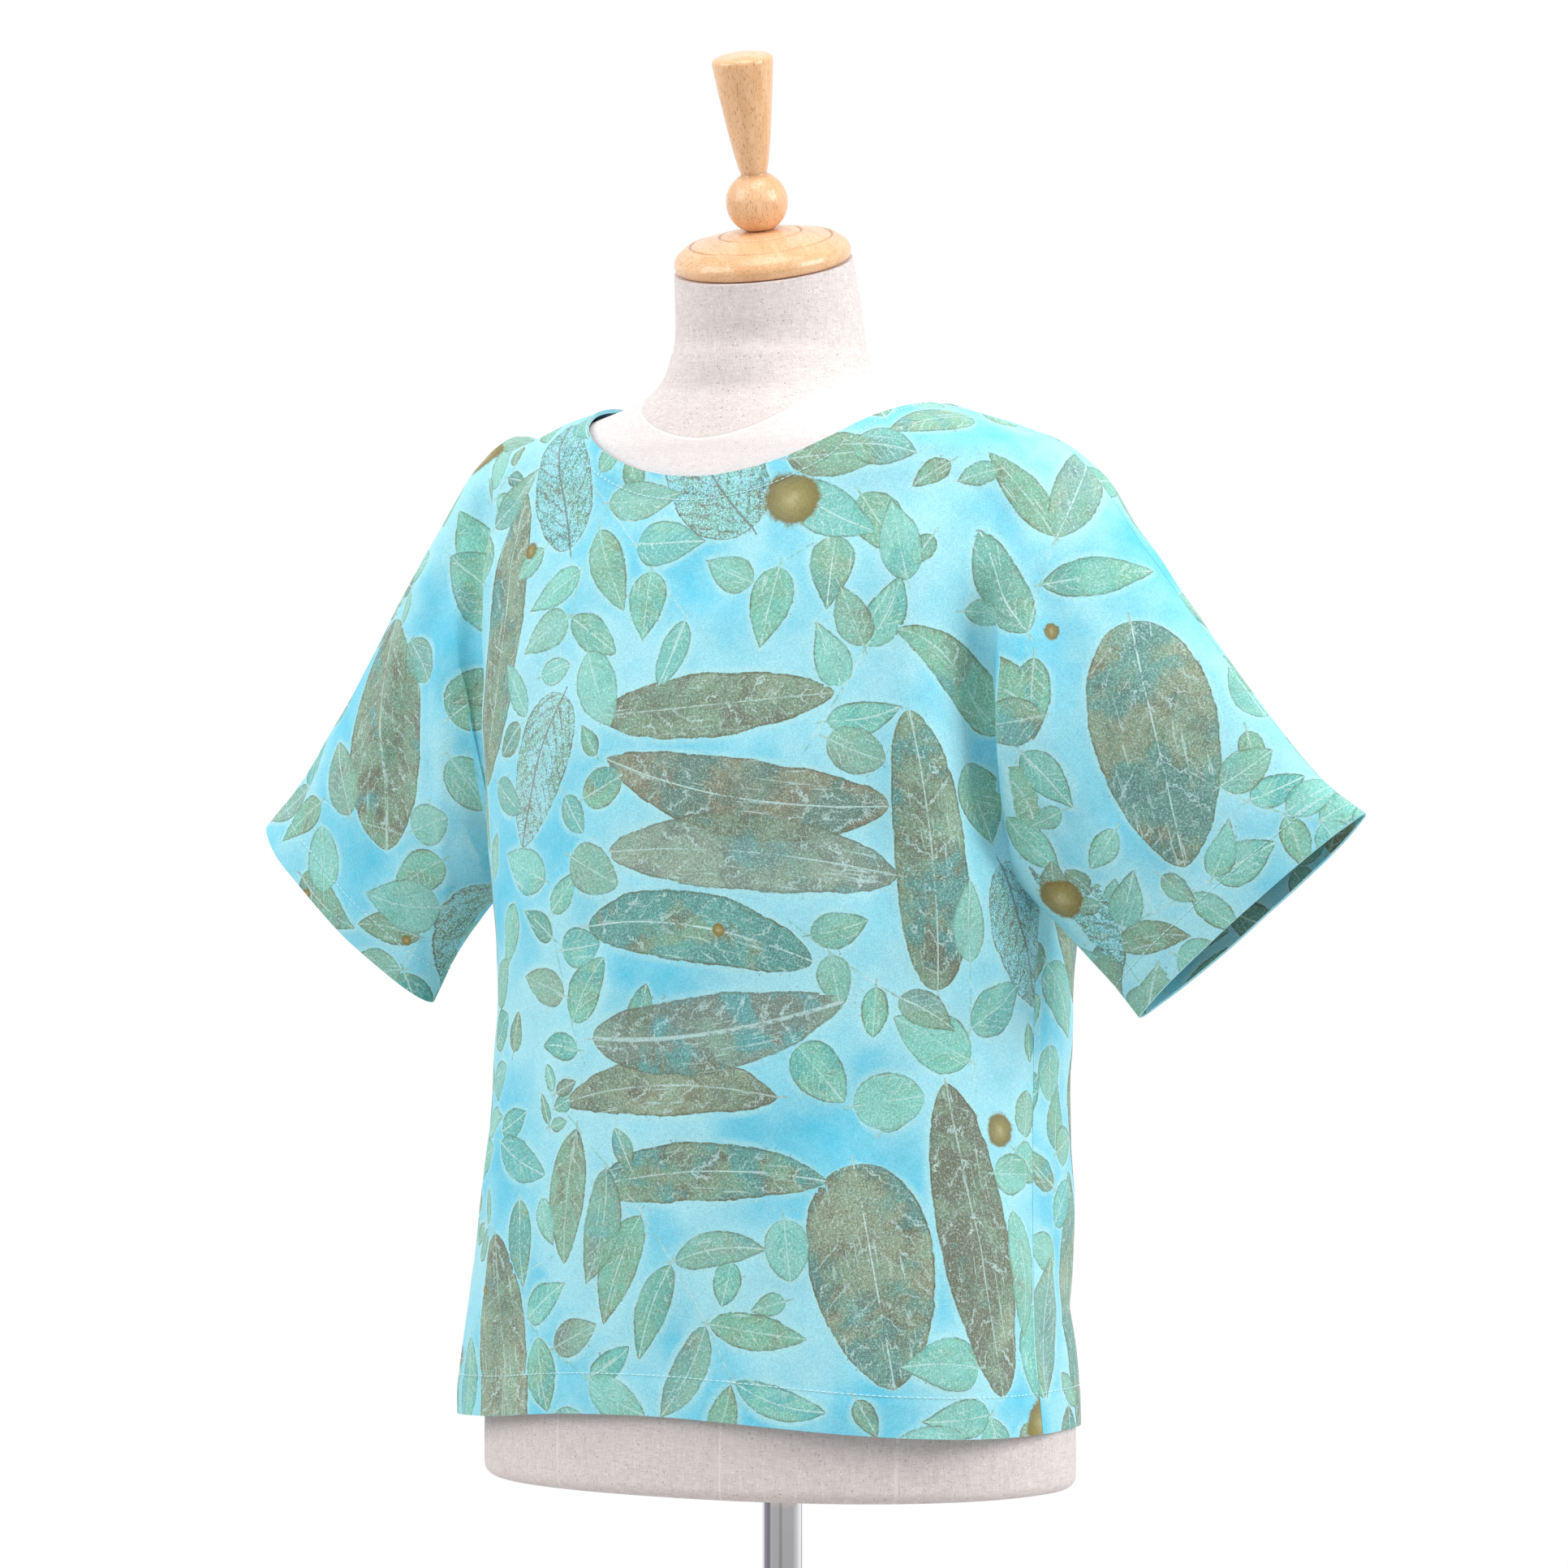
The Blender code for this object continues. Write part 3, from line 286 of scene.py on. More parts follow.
blouse = {
    "cadWall": 0.0018,
    "clearance": 0.0006,
    "seamClearance": 0.0012,
    "shoulderDepth": 0.075,
    "layOn": 0.0031,
    "neckHalf": 0.105,
    "neckShift": 0.004,
    "drop": {"front": 0.0405, "back": 0.012},
    "neckPower": 2.3,
    "armTop": 0.195,
    "cuffTop": 0.3675,
    "underarmZ": 1.11,
    "underarmX": 0.17,
    "rowCrowding": 1.7,
    "seamCrowding": 0.92,
    "neckShare": 0.58,  # a column is at 0 in the centre, at 1 by the armpit and at 2 by the cuff
    "rowBlend": (0.75, 1.15),  # columns between which these change from the body to the sleeve
    "planeBlend": (0.80, 1.30),
    "cuffYFrom": 0.6,  # the cuffs' own y grows from this column
    "sleeveBlend": (0.55, 1.0),
    "sideBlendZ": 1.04,
    "seamShiftZ": (1.06, 0.83),
    "hangStartsZ": 1.35,
    "hangFullZ": 1.285,
    "overarmBlend": (0.15, 0.185),
    "overarmCuffY": (0.01, 0.004),
    "underarmCuffY": (0.002, -0.005),
    "sideSeamHemY": -0.024,
    "unionPower": 5.0,
    "seamGap": 0.0003,
    "foldFade": 0.014,  # the folds fade out over this distance from a seam
    "passes": 6,  # over the whole surface, to clear the form
    "wall": 0.0010,  # the cloth, and how much thicker it is where it is turned under
    "turnedWall": 0.0007,
    "turnedEnd": (-0.001, 0.0015),  # it ends between these distances beyond the stitching
    "turnedFade": 0.010,  # and fades out over these distances from a seam: its thickness and its lift
    "liftFade": 0.006,
    "turnedLift": 0.00035,  # how far the turned edge stands out, and the stitching's groove sinks in
    "grooveDepth": 0.00045,
    "grooveWidth": 0.0022,  # to where it has faded to about a third
    "neckStitch": 0.0135,  # the stitching's distance from each finished edge
    "hemStitch": 0.0220,
    "cuffStitch": 0.0210,
    "columns": (38, 30, 70),  # faces across half a panel: neck, shoulder and sleeve
    "rows": (96, 92),  # and down it: chest and skirt
    "lengthInset": 4,  # columns by the side seams that the cut's length leaves out
    "hang": {
        "height": (0.82, 0.88, 0.95, 1.02, 1.08, 1.13, 1.18, 1.23, 1.28, 1.33),
        "half": (0.182, 0.1755, 0.17, 0.1665, 0.1665, 0.169, 0.1715, 0.174, 0.1775, 0.182),
        "front": (0.137, 0.1335, 0.1315, 0.13, 0.1295, 0.129, 0.1265, 0.119, 0.107, 0.093),
        "back": (0.117, 0.1215, 0.126, 0.1225, 0.119, 0.117, 0.116, 0.114, 0.108, 0.096),
        "frontPower": (2.3, 2.32, 2.26, 2.22, 2.2, 2.15, 2.15, 2.2, 2.3, 2.35),
        "backPower": (2.1, 2.15, 2.25, 2.22, 2.2, 2.2, 2.25, 2.3, 2.3, 2.35),
    },
    "overarm": {
        "out": (0.14, 0.16, 0.18, 0.197, 0.212, 0.23, 0.252, 0.282, 0.312, 0.344, 0.3675),
        "leftZ": (1.37, 1.365, 1.357, 1.343, 1.326, 1.301, 1.2735, 1.2365, 1.202, 1.17, 1.1545),
        "rightZ": (1.372, 1.3715, 1.369, 1.357, 1.343, 1.319, 1.2905, 1.251, 1.21, 1.17, 1.146),
    },
    "underside": {
        "share": (0, 0.12, 0.32, 0.55, 0.78, 1),
        "leftX": (0.17, 0.1765, 0.188, 0.2025, 0.2185, 0.2325),
        "leftZ": (1.11, 1.103, 1.0905, 1.0755, 1.06, 1.0445),
        "rightX": (0.17, 0.183, 0.2015, 0.2155, 0.23, 0.2415),
        "rightZ": (1.11, 1.1085, 1.1025, 1.087, 1.066, 1.045),
    },
    "sleeve": {
        "along": (0, 0.25, 0.5, 0.75, 1),
        "leftFront": (0.06, 0.049, 0.035, 0.023, 0.014),
        "leftBack": (0.061, 0.05, 0.036, 0.0225, 0.0155),
        "rightFront": (0.06, 0.051, 0.04, 0.0315, 0.0265),
        "rightBack": (0.061, 0.049, 0.037, 0.026, 0.018),
        "roundness": (0.5, 0.51, 0.52, 0.53, 0.53),
    },
    "hem": {
        "x": (-0.182, -0.12, -0.05, 0.02, 0.09, 0.14, 0.182),
        "front": (0.818, 0.822, 0.828, 0.8295, 0.826, 0.8225, 0.82),
        "back": (0.818, 0.819, 0.821, 0.822, 0.821, 0.82, 0.82),
    },
    "folds": {  # top x and z, foot x and z, bow, width, lift
        "front": (
            (0.141, 1.3, 0.154, 1.06, 0.004, 0.013, 0.0095), (0.169, 1.25, 0.167, 1.142, 0.001, 0.009, -0.009),
            (0.194, 1.225, 0.186, 1.12, 0.002, 0.012, 0.0035), (0.14, 1.08, 0.168, 0.86, 0.003, 0.018, 0.004),
            (-0.158, 1.33, -0.152, 1.14, -0.004, 0.018, 0.0055),
            (-0.183, 1.215, -0.171, 1.104, -0.002, 0.014, -0.0075),
            (-0.171, 1.315, -0.176, 1.15, 0.0, 0.01, -0.007),
            (-0.176, 1.345, -0.25, 1.205, 0.004, 0.013, 0.006),
            (-0.186, 1.3, -0.262, 1.11, 0.006, 0.014, -0.0035),
            (0.196, 1.3, 0.262, 1.105, 0.006, 0.015, -0.0035),
            (0.196, 1.18, 0.226, 1.085, 0.004, 0.01, -0.0035), (-0.085, 1.06, -0.1, 0.815, 0.0, 0.024, -0.003),
            (0.06, 1.02, 0.076, 0.815, 0.0, 0.028, -0.003), (0.132, 1.01, 0.138, 0.815, 0.0, 0.016, -0.0035),
        ),
        "back": (
            (0.15, 1.28, 0.154, 1.05, 0.004, 0.018, 0.006), (0.183, 1.215, 0.171, 1.104, 0.003, 0.014, -0.0075),
            (-0.148, 1.29, -0.154, 1.05, -0.004, 0.018, 0.006),
            (-0.183, 1.215, -0.171, 1.104, -0.003, 0.014, -0.0075),
            (0.07, 1.13, 0.098, 0.815, 0.004, 0.026, -0.0045),
            (-0.052, 1.08, -0.074, 0.815, -0.004, 0.024, -0.004), (0.01, 1.0, 0.016, 0.815, 0.0, 0.03, 0.004),
            (-0.126, 1.06, -0.138, 0.815, 0.0, 0.018, -0.0035), (0.2, 1.29, 0.268, 1.11, 0.006, 0.014, -0.0035),
            (-0.2, 1.29, -0.262, 1.1, -0.006, 0.014, -0.0035),
        ),
    },
    "creases": {  # finer and softer, laid out in the same way
        "front": (
            (0.158, 1.112, 0.169, 0.965, 0.0, 0.002, 0.0022),
            (0.118, 1.255, 0.128, 1.105, 0.004, 0.007, -0.002), (0.163, 1.2, 0.16, 1.02, 0.003, 0.006, 0.0016),
            (0.152, 1.0, 0.16, 0.88, 0.002, 0.005, -0.0014), (0.116, 0.96, 0.121, 0.835, -0.002, 0.006, 0.0013),
            (0.162, 0.93, 0.17, 0.826, 0.001, 0.005, 0.0014),
            (0.03, 0.905, 0.036, 0.826, 0.002, 0.008, -0.0012), (-0.03, 1.0, -0.04, 0.87, 0.003, 0.009, 0.0013),
            (-0.132, 1.06, -0.14, 0.88, -0.002, 0.006, -0.0014),
            (-0.16, 0.98, -0.166, 0.83, 0.001, 0.005, 0.0014),
            (-0.136, 1.33, -0.15, 1.23, -0.003, 0.006, -0.0015),
            (-0.203, 1.33, -0.232, 1.22, 0.004, 0.007, -0.0014),
            (-0.222, 1.24, -0.262, 1.15, 0.003, 0.007, 0.0014),
            (0.15, 1.345, 0.205, 1.255, -0.006, 0.008, -0.0015),
            (0.215, 1.27, 0.29, 1.165, 0.005, 0.009, 0.0013), (0.19, 1.215, 0.212, 1.125, 0.003, 0.005, 0.0015),
            (0.205, 1.15, 0.226, 1.075, -0.002, 0.005, 0.0012),
            (-0.198, 1.2, -0.214, 1.11, -0.002, 0.005, 0.0014),
            (-0.02, 1.285, 0.045, 1.255, 0.003, 0.01, 0.001),
        ),
        "back": (
            (0.12, 1.26, 0.132, 1.1, 0.004, 0.007, -0.0015),
            (-0.118, 1.27, -0.126, 1.11, -0.003, 0.007, -0.0015),
            (0.15, 1.02, 0.158, 0.85, 0.002, 0.006, 0.0015), (0.104, 0.95, 0.11, 0.83, -0.002, 0.006, -0.0012),
            (-0.15, 1.01, -0.16, 0.86, -0.002, 0.006, 0.0014),
            (-0.02, 0.96, -0.026, 0.83, 0.002, 0.008, 0.0012), (0.04, 1.3, 0.06, 1.18, 0.003, 0.009, -0.0011),
            (-0.06, 1.31, -0.074, 1.2, -0.003, 0.009, -0.0011),
            (0.215, 1.26, 0.285, 1.165, 0.005, 0.008, 0.0013),
            (-0.215, 1.27, -0.28, 1.165, -0.005, 0.008, 0.0013),
            (0.196, 1.2, 0.216, 1.11, 0.002, 0.005, 0.0013), (-0.196, 1.2, -0.214, 1.11, -0.002, 0.005, 0.0013),
        ),
    },
}


def smoothStep(start, end, value):
    share = np.clip((np.asarray(value, float) - start) / (end - start), 0.0, 1.0)
    return share * share * (3.0 - 2.0 * share)


def smoothCurve(knots, values, at):
    # A cubic between neighbouring points, whose slope at a point comes from both its neighbours
    slopes = np.gradient(values, knots)
    at = np.clip(at, knots[0], knots[-1])
    cell = np.clip(np.searchsorted(knots, at, side="right") - 1, 0, len(knots) - 2)
    run = knots[cell + 1] - knots[cell]
    t = (at - knots[cell]) / run
    start = values[cell] * (1.0 + 2.0 * t) * (1.0 - t) ** 2 + slopes[cell] * run * t * (1.0 - t) ** 2
    end = values[cell + 1] * t * t * (3.0 - 2.0 * t) - slopes[cell + 1] * run * t * t * (1.0 - t)
    return start + end


def readTable(table, name, at):
    # A table's column, read along its first one
    knots = next(iter(table.values()))
    return smoothCurve(np.array(knots, float), np.array(table[name], float), at)


def readSide(table, name, at, across):
    # The same for a table with a column for each side of the wearer
    left, right = (readTable(table, side + name, at) for side in ("left", "right"))
    return np.where(across > 0.0, left, right)


def hangSize(name, height):
    return readTable(blouse["hang"], name, height)


def rounding(share, power):
    # The height of a superellipse of radius 1 at this share of its half width
    return np.clip(1.0 - np.abs(share) ** power, 0.0, None) ** (1.0 / power)


def formSize(name, height):
    return readTable(dressForm["sections"], name, height)


def formClearance(points):
    # Distance from the form's surface, positive outside, to first order
    def level(x, y, z):
        y = y - formSize("middle", z)
        depth = np.where(y < 0.0, formSize("front", z), formSize("back", z))
        power = formSize("power", z)
        return (np.abs(x / formSize("half", z)) ** power + np.abs(y / depth) ** power) ** (1.0 / power)

    x, y, z = points[..., 0], points[..., 1], points[..., 2]
    step = 0.0005
    here = level(x, y, z)
    slopeX = (level(x + step, y, z) - level(x - step, y, z)) / (2.0 * step)
    slopeY = (level(x, y + step, z) - level(x, y - step, z)) / (2.0 * step)
    slopeZ = (level(x, y, z + step) - level(x, y, z - step)) / (2.0 * step)
    steepness = np.sqrt(slopeX**2 + slopeY**2 + slopeZ**2)
    return (here - 1.0) / np.maximum(steepness, 1e-6)


def shoulderLine(x):
    # Height of the form's shoulder at this distance from the centre
    heights = np.linspace(dressForm["shoulderZ"], dressForm["neckBaseZ"], 400)
    halves = formSize("half", heights)
    return np.interp(np.abs(x), halves[::-1], heights[::-1])


def overarmHeight(x):
    weight = smoothStep(*blouse["overarmBlend"], np.abs(x))
    onArm = readSide(blouse["overarm"], "Z", np.abs(x), x)
    return (1.0 - weight) * (shoulderLine(x) + blouse["layOn"]) + weight * onArm


def necklineHeight(x, panel):
    right = overarmHeight(np.full_like(x, blouse["neckShift"] - blouse["neckHalf"]))
    left = overarmHeight(np.full_like(x, blouse["neckShift"] + blouse["neckHalf"]))
    share = (x - blouse["neckShift"]) / blouse["neckHalf"]
    ends = 0.5 * (right + left) + 0.5 * (left - right) * share
    return ends - blouse["drop"][panel] * (1.0 - np.abs(share) ** blouse["neckPower"])


def bodyShare(across):
    # From 0 at the centre to 1 at the side seam, closer together near the seam
    out = np.sin(0.5 * math.pi * np.clip(np.abs(across), 0.0, 1.0))
    return np.sign(across) * out ** blouse["seamCrowding"]


def topEdge(across, panel):
    # The neckline, the shoulder seam and the overarm seam, seen from the front
    out = np.abs(across)
    side = np.sign(across)
    neckEnd = blouse["neckHalf"] + side * blouse["neckShift"]
    alongNeck = np.sin(0.5 * math.pi * np.minimum(out / blouse["neckShare"], 1.0))
    alongShoulder = (out - blouse["neckShare"]) / (1.0 - blouse["neckShare"])
    onNeck = blouse["neckShift"] + side * blouse["neckHalf"] * alongNeck
    onShoulder = side * (neckEnd + (blouse["armTop"] - neckEnd) * alongShoulder)
    onSleeve = side * (blouse["armTop"] + (blouse["cuffTop"] - blouse["armTop"]) * (out - 1.0))
    x = np.where(out < blouse["neckShare"], onNeck, np.where(out > 1.0, onSleeve, onShoulder))
    z = np.where(out < blouse["neckShare"], necklineHeight(x, panel), overarmHeight(x))
    return x, z


def lowEdge(across):
    # The underarm level of the body and the under edges of the sleeves, seen from the front
    out = np.abs(across)
    xBody = blouse["underarmX"] * np.abs(bodyShare(across))
    along = np.clip(out - 1.0, 0.0, 1.0)
    xSleeve, zSleeve = (readSide(blouse["underside"], name, along, across) for name in ("X", "Z"))
    x = np.where(out > 1.0, xSleeve, xBody) * np.sign(across)
    return x, np.where(out > 1.0, zSleeve, blouse["underarmZ"])


def sideSeamX(height):
    # The hang's half width, drawn in to the underarm point at its top
    drawnIn = blouse["underarmX"] - hangSize("half", blouse["underarmZ"])
    return hangSize("half", height) + drawnIn * smoothStep(blouse["sideBlendZ"], blouse["underarmZ"], height)


def faceView(across, down, panel):
    # Where a point lies seen from the front, and how far it is from the top edge to the low edge
    out = np.abs(across)
    topX, topZ = topEdge(across, panel)
    lowX, lowZ = lowEdge(across)
    upper = np.clip(down, 0.0, 1.0)
    toBothEnds = 0.5 - 0.5 * np.cos(math.pi * upper)
    weight = smoothStep(*blouse["rowBlend"], out)
    share = (1.0 - weight) * upper**blouse["rowCrowding"] + weight * toBothEnds
    x = topX + (lowX - topX) * share
    z = topZ + (lowZ - topZ) * share
    hemZ = readTable(blouse["hem"], panel, blouse["hem"]["x"][-1] * bodyShare(across))
    skirtZ = blouse["underarmZ"] - (blouse["underarmZ"] - hemZ) * (down - 1.0)
    skirtX = sideSeamX(skirtZ) * bodyShare(across)
    isSkirt = down > 1.0
    return np.where(isSkirt, skirtX, x), np.where(isSkirt, skirtZ, z), share


def seamPlane(across, share, z):
    # The surface between the front and the back, which the seams lie in
    body = formSize("middle", z) + blouse["sideSeamHemY"] * smoothStep(*blouse["seamShiftZ"], z)
    over = np.where(across > 0.0, *blouse["overarmCuffY"])
    under = np.where(across > 0.0, *blouse["underarmCuffY"])
    sleeve = (over + (under - over) * share) * np.clip(np.abs(across) - blouse["cuffYFrom"], 0.0, 1.0)
    weight = smoothStep(*blouse["planeBlend"], np.abs(across))
    return (1.0 - weight) * body + weight * sleeve


def bodyDepth(x, z, panel, plane):
    # How far the body of the blouse stands in front of the seam plane, or behind it
    low = z - blouse["layOn"]
    lying = formSize(panel, low) * rounding(x / formSize("half", low), formSize("power", low))
    lying = lying * (1.0 + blouse["layOn"] / blouse["shoulderDepth"])
    toward = plane if panel == "front" else -plane
    hanging = (hangSize(panel, z) + toward) * rounding(x / sideSeamX(z), hangSize(panel + "Power", z))
    weight = smoothStep(blouse["hangStartsZ"], blouse["hangFullZ"], z)
    return (1.0 - weight) * lying + weight * hanging


def sleeveDepth(across, share, panel):
    # The same for the sleeve, which fades out over the body
    along = np.clip(np.abs(across) - 1.0, 0.0, 1.0)
    thickness = readSide(blouse["sleeve"], panel.capitalize(), along, across)
    roundness = readTable(blouse["sleeve"], "roundness", along)
    fade = smoothStep(*blouse["sleeveBlend"], np.abs(across))
    return thickness * fade * (4.0 * share * (1.0 - share)) ** roundness


def foldLift(x, z, panel):
    # How far the folds and creases stand out, or in, at these points seen from the front
    total = np.zeros_like(x)
    for topX, topZ, footX, footZ, bow, width, lift in blouse["folds"][panel] + blouse["creases"][panel]:
        runX, runZ = footX - topX, footZ - topZ
        offX, offZ = x - topX, z - topZ
        length = math.hypot(runX, runZ)
        along = (offX * runX + offZ * runZ) / length**2
        held = np.clip(along, 0.0, 1.0)
        side = (offX * runZ - offZ * runX) / length - bow * 4.0 * held * (1.0 - held)
        past = (along - held) * length
        away = (side / width) ** 2 + (past / (1.5 * width)) ** 2
        ends = 0.35 + 0.65 * np.sin(math.pi * (0.1 + 0.8 * held))
        total += lift * ends * np.exp(-away)
    return total


def unit(vectors):
    return vectors / np.maximum(np.linalg.norm(vectors, axis=-1, keepdims=True), 1e-12)


def crossedDiagonals(corners):
    # Square to each quad, and twice its area long
    return np.cross(corners[:, 2] - corners[:, 0], corners[:, 3] - corners[:, 1])


def vertexNormals(points, faces):
    crossed = crossedDiagonals(points[faces])
    total = np.zeros_like(points)
    for corner in range(4):
        np.add.at(total, faces[:, corner], crossed)
    return unit(total)


def seamNormals(across, down, z):
    # Outward directions, in the plane of the seams, at the points that lie on a seam
    onTop = (down == 0.0) & (np.abs(across) >= blouse["neckShare"] - 1e-9)
    onUnder = (down == 1.0) & (np.abs(across) >= 1.0 - 1e-9)
    onSide = (down > 1.0) & (np.abs(np.abs(across) - 1.0) < 1e-9)
    step = 1e-3
    side = np.where(across < 0.0, -1.0, 1.0)
    out = np.abs(across)

    def squareTo(runX, runZ):
        length = np.hypot(runX, runZ)
        return np.stack([-runZ / length, np.zeros_like(length), runX / length], axis=-1)

    before = topEdge(side * np.maximum(out - step, blouse["neckShare"]), "front")
    after = topEdge(side * np.maximum(out + step, blouse["neckShare"] + step), "front")
    top = squareTo((after[0] - before[0]) * side, (after[1] - before[1]) * side)
    before = lowEdge(side * np.clip(out - step, 1.0, 2.0 - step))
    after = lowEdge(side * np.clip(out + step, 1.0 + step, 2.0))
    under = -squareTo((after[0] - before[0]) * side, (after[1] - before[1]) * side)
    run = sideSeamX(z - step) - sideSeamX(z + step)
    flank = squareTo(-run, np.full_like(run, 2.0 * step)) * -side[..., None]
    corner = (down == 1.0) & (np.abs(out - 1.0) < 1e-9)
    bisector = unit(under + np.stack([side, np.zeros_like(side), np.zeros_like(side)], axis=-1))
    under = np.where(corner[..., None], bisector, under)
    normals = np.where(onTop[..., None], top, np.where(onUnder[..., None], under, flank))
    return onTop | onUnder | onSide, normals


def clearanceShort(inside, faces, onSeam):
    # How far each point has to move out, for the inside of the cloth to clear the form there and
    # halfway to the points around it. A point on a seam looks only at its own place.
    short = np.where(onSeam, blouse["seamClearance"], blouse["clearance"]) - formClearance(inside)
    around = short.copy()
    for one, other in ((0, 1), (1, 2), (2, 3), (3, 0), (0, 2), (1, 3)):
        a, b = faces[:, one], faces[:, other]
        lack = blouse["clearance"] - formClearance(0.5 * (inside[a] + inside[b]))
        np.maximum.at(around, a, lack)
        np.maximum.at(around, b, lack)
    return np.clip(np.where(onSeam, short, around), 0.0, None)


def panelGrid():
    # Parameters of the columns and rows, about evenly spaced over the cloth: the cloth's length is
    # summed along a few fine lines, and the parameters are read off at equal shares of it
    neckCount, shoulderCount, sleeveCount = blouse["columns"]
    chestCount, skirtCount = blouse["rows"]

    def travelled(across, down):
        x, z, share = faceView(across, down, "front")
        plane = seamPlane(across, share, z)
        body = np.where(np.abs(across) > 1.0, 0.0, bodyDepth(x, z, "front", plane))
        sleeve = sleeveDepth(across, share, "front")
        run = runAlong(np.stack([x, plane - np.maximum(body, sleeve), z], axis=-1), 0)
        return run / run[-1]

    def even(start, end, count, lines):
        fine = np.linspace(start, end, 900)
        run = sum(travelled(*line(fine)) for line in lines) / len(lines)
        made = np.interp(np.linspace(0.0, 1.0, count + 1), run, fine)
        made[0], made[-1] = start, end
        return made

    low = (lambda value: (value, np.ones_like(value)),)
    both = low + (lambda value: (value, np.full_like(value, 0.5)),)
    upright = tuple(lambda value, at=at: (np.full_like(value, at), value) for at in (0.05, 0.75, 1.4))
    neck = even(0.0, blouse["neckShare"], neckCount, low)
    shoulder = even(blouse["neckShare"], 1.0, shoulderCount, both)[1:]
    sleeve = np.linspace(1.0, 2.0, sleeveCount + 1)[1:]
    half = np.concatenate([neck, shoulder, sleeve])
    chest = even(0.0, 1.0, chestCount, upright)
    skirt = 1.0 + np.linspace(0.0, 1.0, skirtCount + 1)[1:]
    return np.concatenate([-half[:0:-1], half]), np.concatenate([chest, skirt])


def panelFaces(across, down):
    # Quads of the T-shaped grid, seen from the front, with the sleeves only above the underarm
    row, place = np.meshgrid(np.arange(len(down) - 1), np.arange(len(across) - 1), indexing="ij")
    onBody = np.maximum(np.abs(across[place]), np.abs(across[place + 1])) <= 1.0 + 1e-9
    keep = (row < blouse["rows"][0]) | onBody
    first = (row * len(across) + place)[keep]
    below = first + len(across)
    return np.stack([first, below, below + 1, first + 1], axis=-1)


def nearestOf(points, targets):
    # Distance from each point to the nearest of the targets, a block of targets at a time
    nearest = np.full(len(points), 9.0)
    for block in np.array_split(targets, max(len(targets) // 40, 1)):
        nearest = np.minimum(nearest, np.linalg.norm(points[:, None] - block[None], axis=-1).min(axis=1))
    return nearest


def softUnevenness(points):
    # A sum of a few broad sine waves, in metres
    total = np.zeros(len(points))
    for x, y, z, phase, lift in (
        (61.0, 23.0, 38.0, 0.3, 0.00045), (-42.0, 51.0, 71.0, 1.9, 0.00040),
        (97.0, -35.0, -58.0, 4.1, 0.00030), (-118.0, 64.0, 92.0, 2.6, 0.00022),
        (33.0, 80.0, -141.0, 5.2, 0.00020), (152.0, 44.0, 47.0, 0.9, 0.00016),
    ):
        total += lift * np.sin(points @ np.array([x, y, z]) + phase)
    return total


def panelSurface(panel):
    # The outside of a panel, its outward normals and its quads. The body and the sleeve are two
    # depths from the seam plane, joined by the root of the sum of their high powers, then folded
    # and moved out until the inside clears the form.
    acrossLine, downLine = panelGrid()
    across, down = np.meshgrid(acrossLine, downLine)
    across, down = across.ravel(), down.ravel()
    faces = panelFaces(acrossLine, downLine)
    x, z, share = faceView(across, down, panel)
    plane = seamPlane(across, share, z)
    onSeam, seamOut = seamNormals(across, down, z)
    body = bodyDepth(x, z, panel, plane)
    sleeve = np.where(down > 1.0, 0.0, sleeveDepth(across, share, panel))
    depth = (body**blouse["unionPower"] + sleeve**blouse["unionPower"]) ** (1.0 / blouse["unionPower"])
    depth = np.where(onSeam, 0.0, depth)
    facing = -1.0 if panel == "front" else 1.0
    points = np.stack([x, plane + facing * depth, z], axis=-1)
    if panel == "back":
        faces = faces[:, ::-1]
    normals = vertexNormals(points, faces)
    used = np.zeros(len(points), bool)
    used[faces.ravel()] = True
    fromSeam = np.full(len(points), 0.1)
    fromSeam[used] = nearestOf(points[used], points[onSeam & used])
    lift = foldLift(x, z, panel) + softUnevenness(points)
    points = points + normals * (lift * smoothStep(0.0, blouse["foldFade"], fromSeam))[:, None]
    for _ in range(blouse["passes"]):
        normals = np.where(onSeam[:, None], seamOut, vertexNormals(points, faces))
        short = clearanceShort(points - normals * blouse["cadWall"], faces, onSeam)
        points = points + normals * short[:, None]
    return points, normals, faces, onSeam, fromSeam, acrossLine, downLine


def runAlong(grid, axis):
    # Length travelled over the grid from its first row or column
    step = np.linalg.norm(np.diff(grid, axis=axis), axis=-1)
    start = np.zeros_like(np.take(step, [0], axis=axis))
    return np.concatenate([start, np.cumsum(step, axis=axis)], axis=axis)


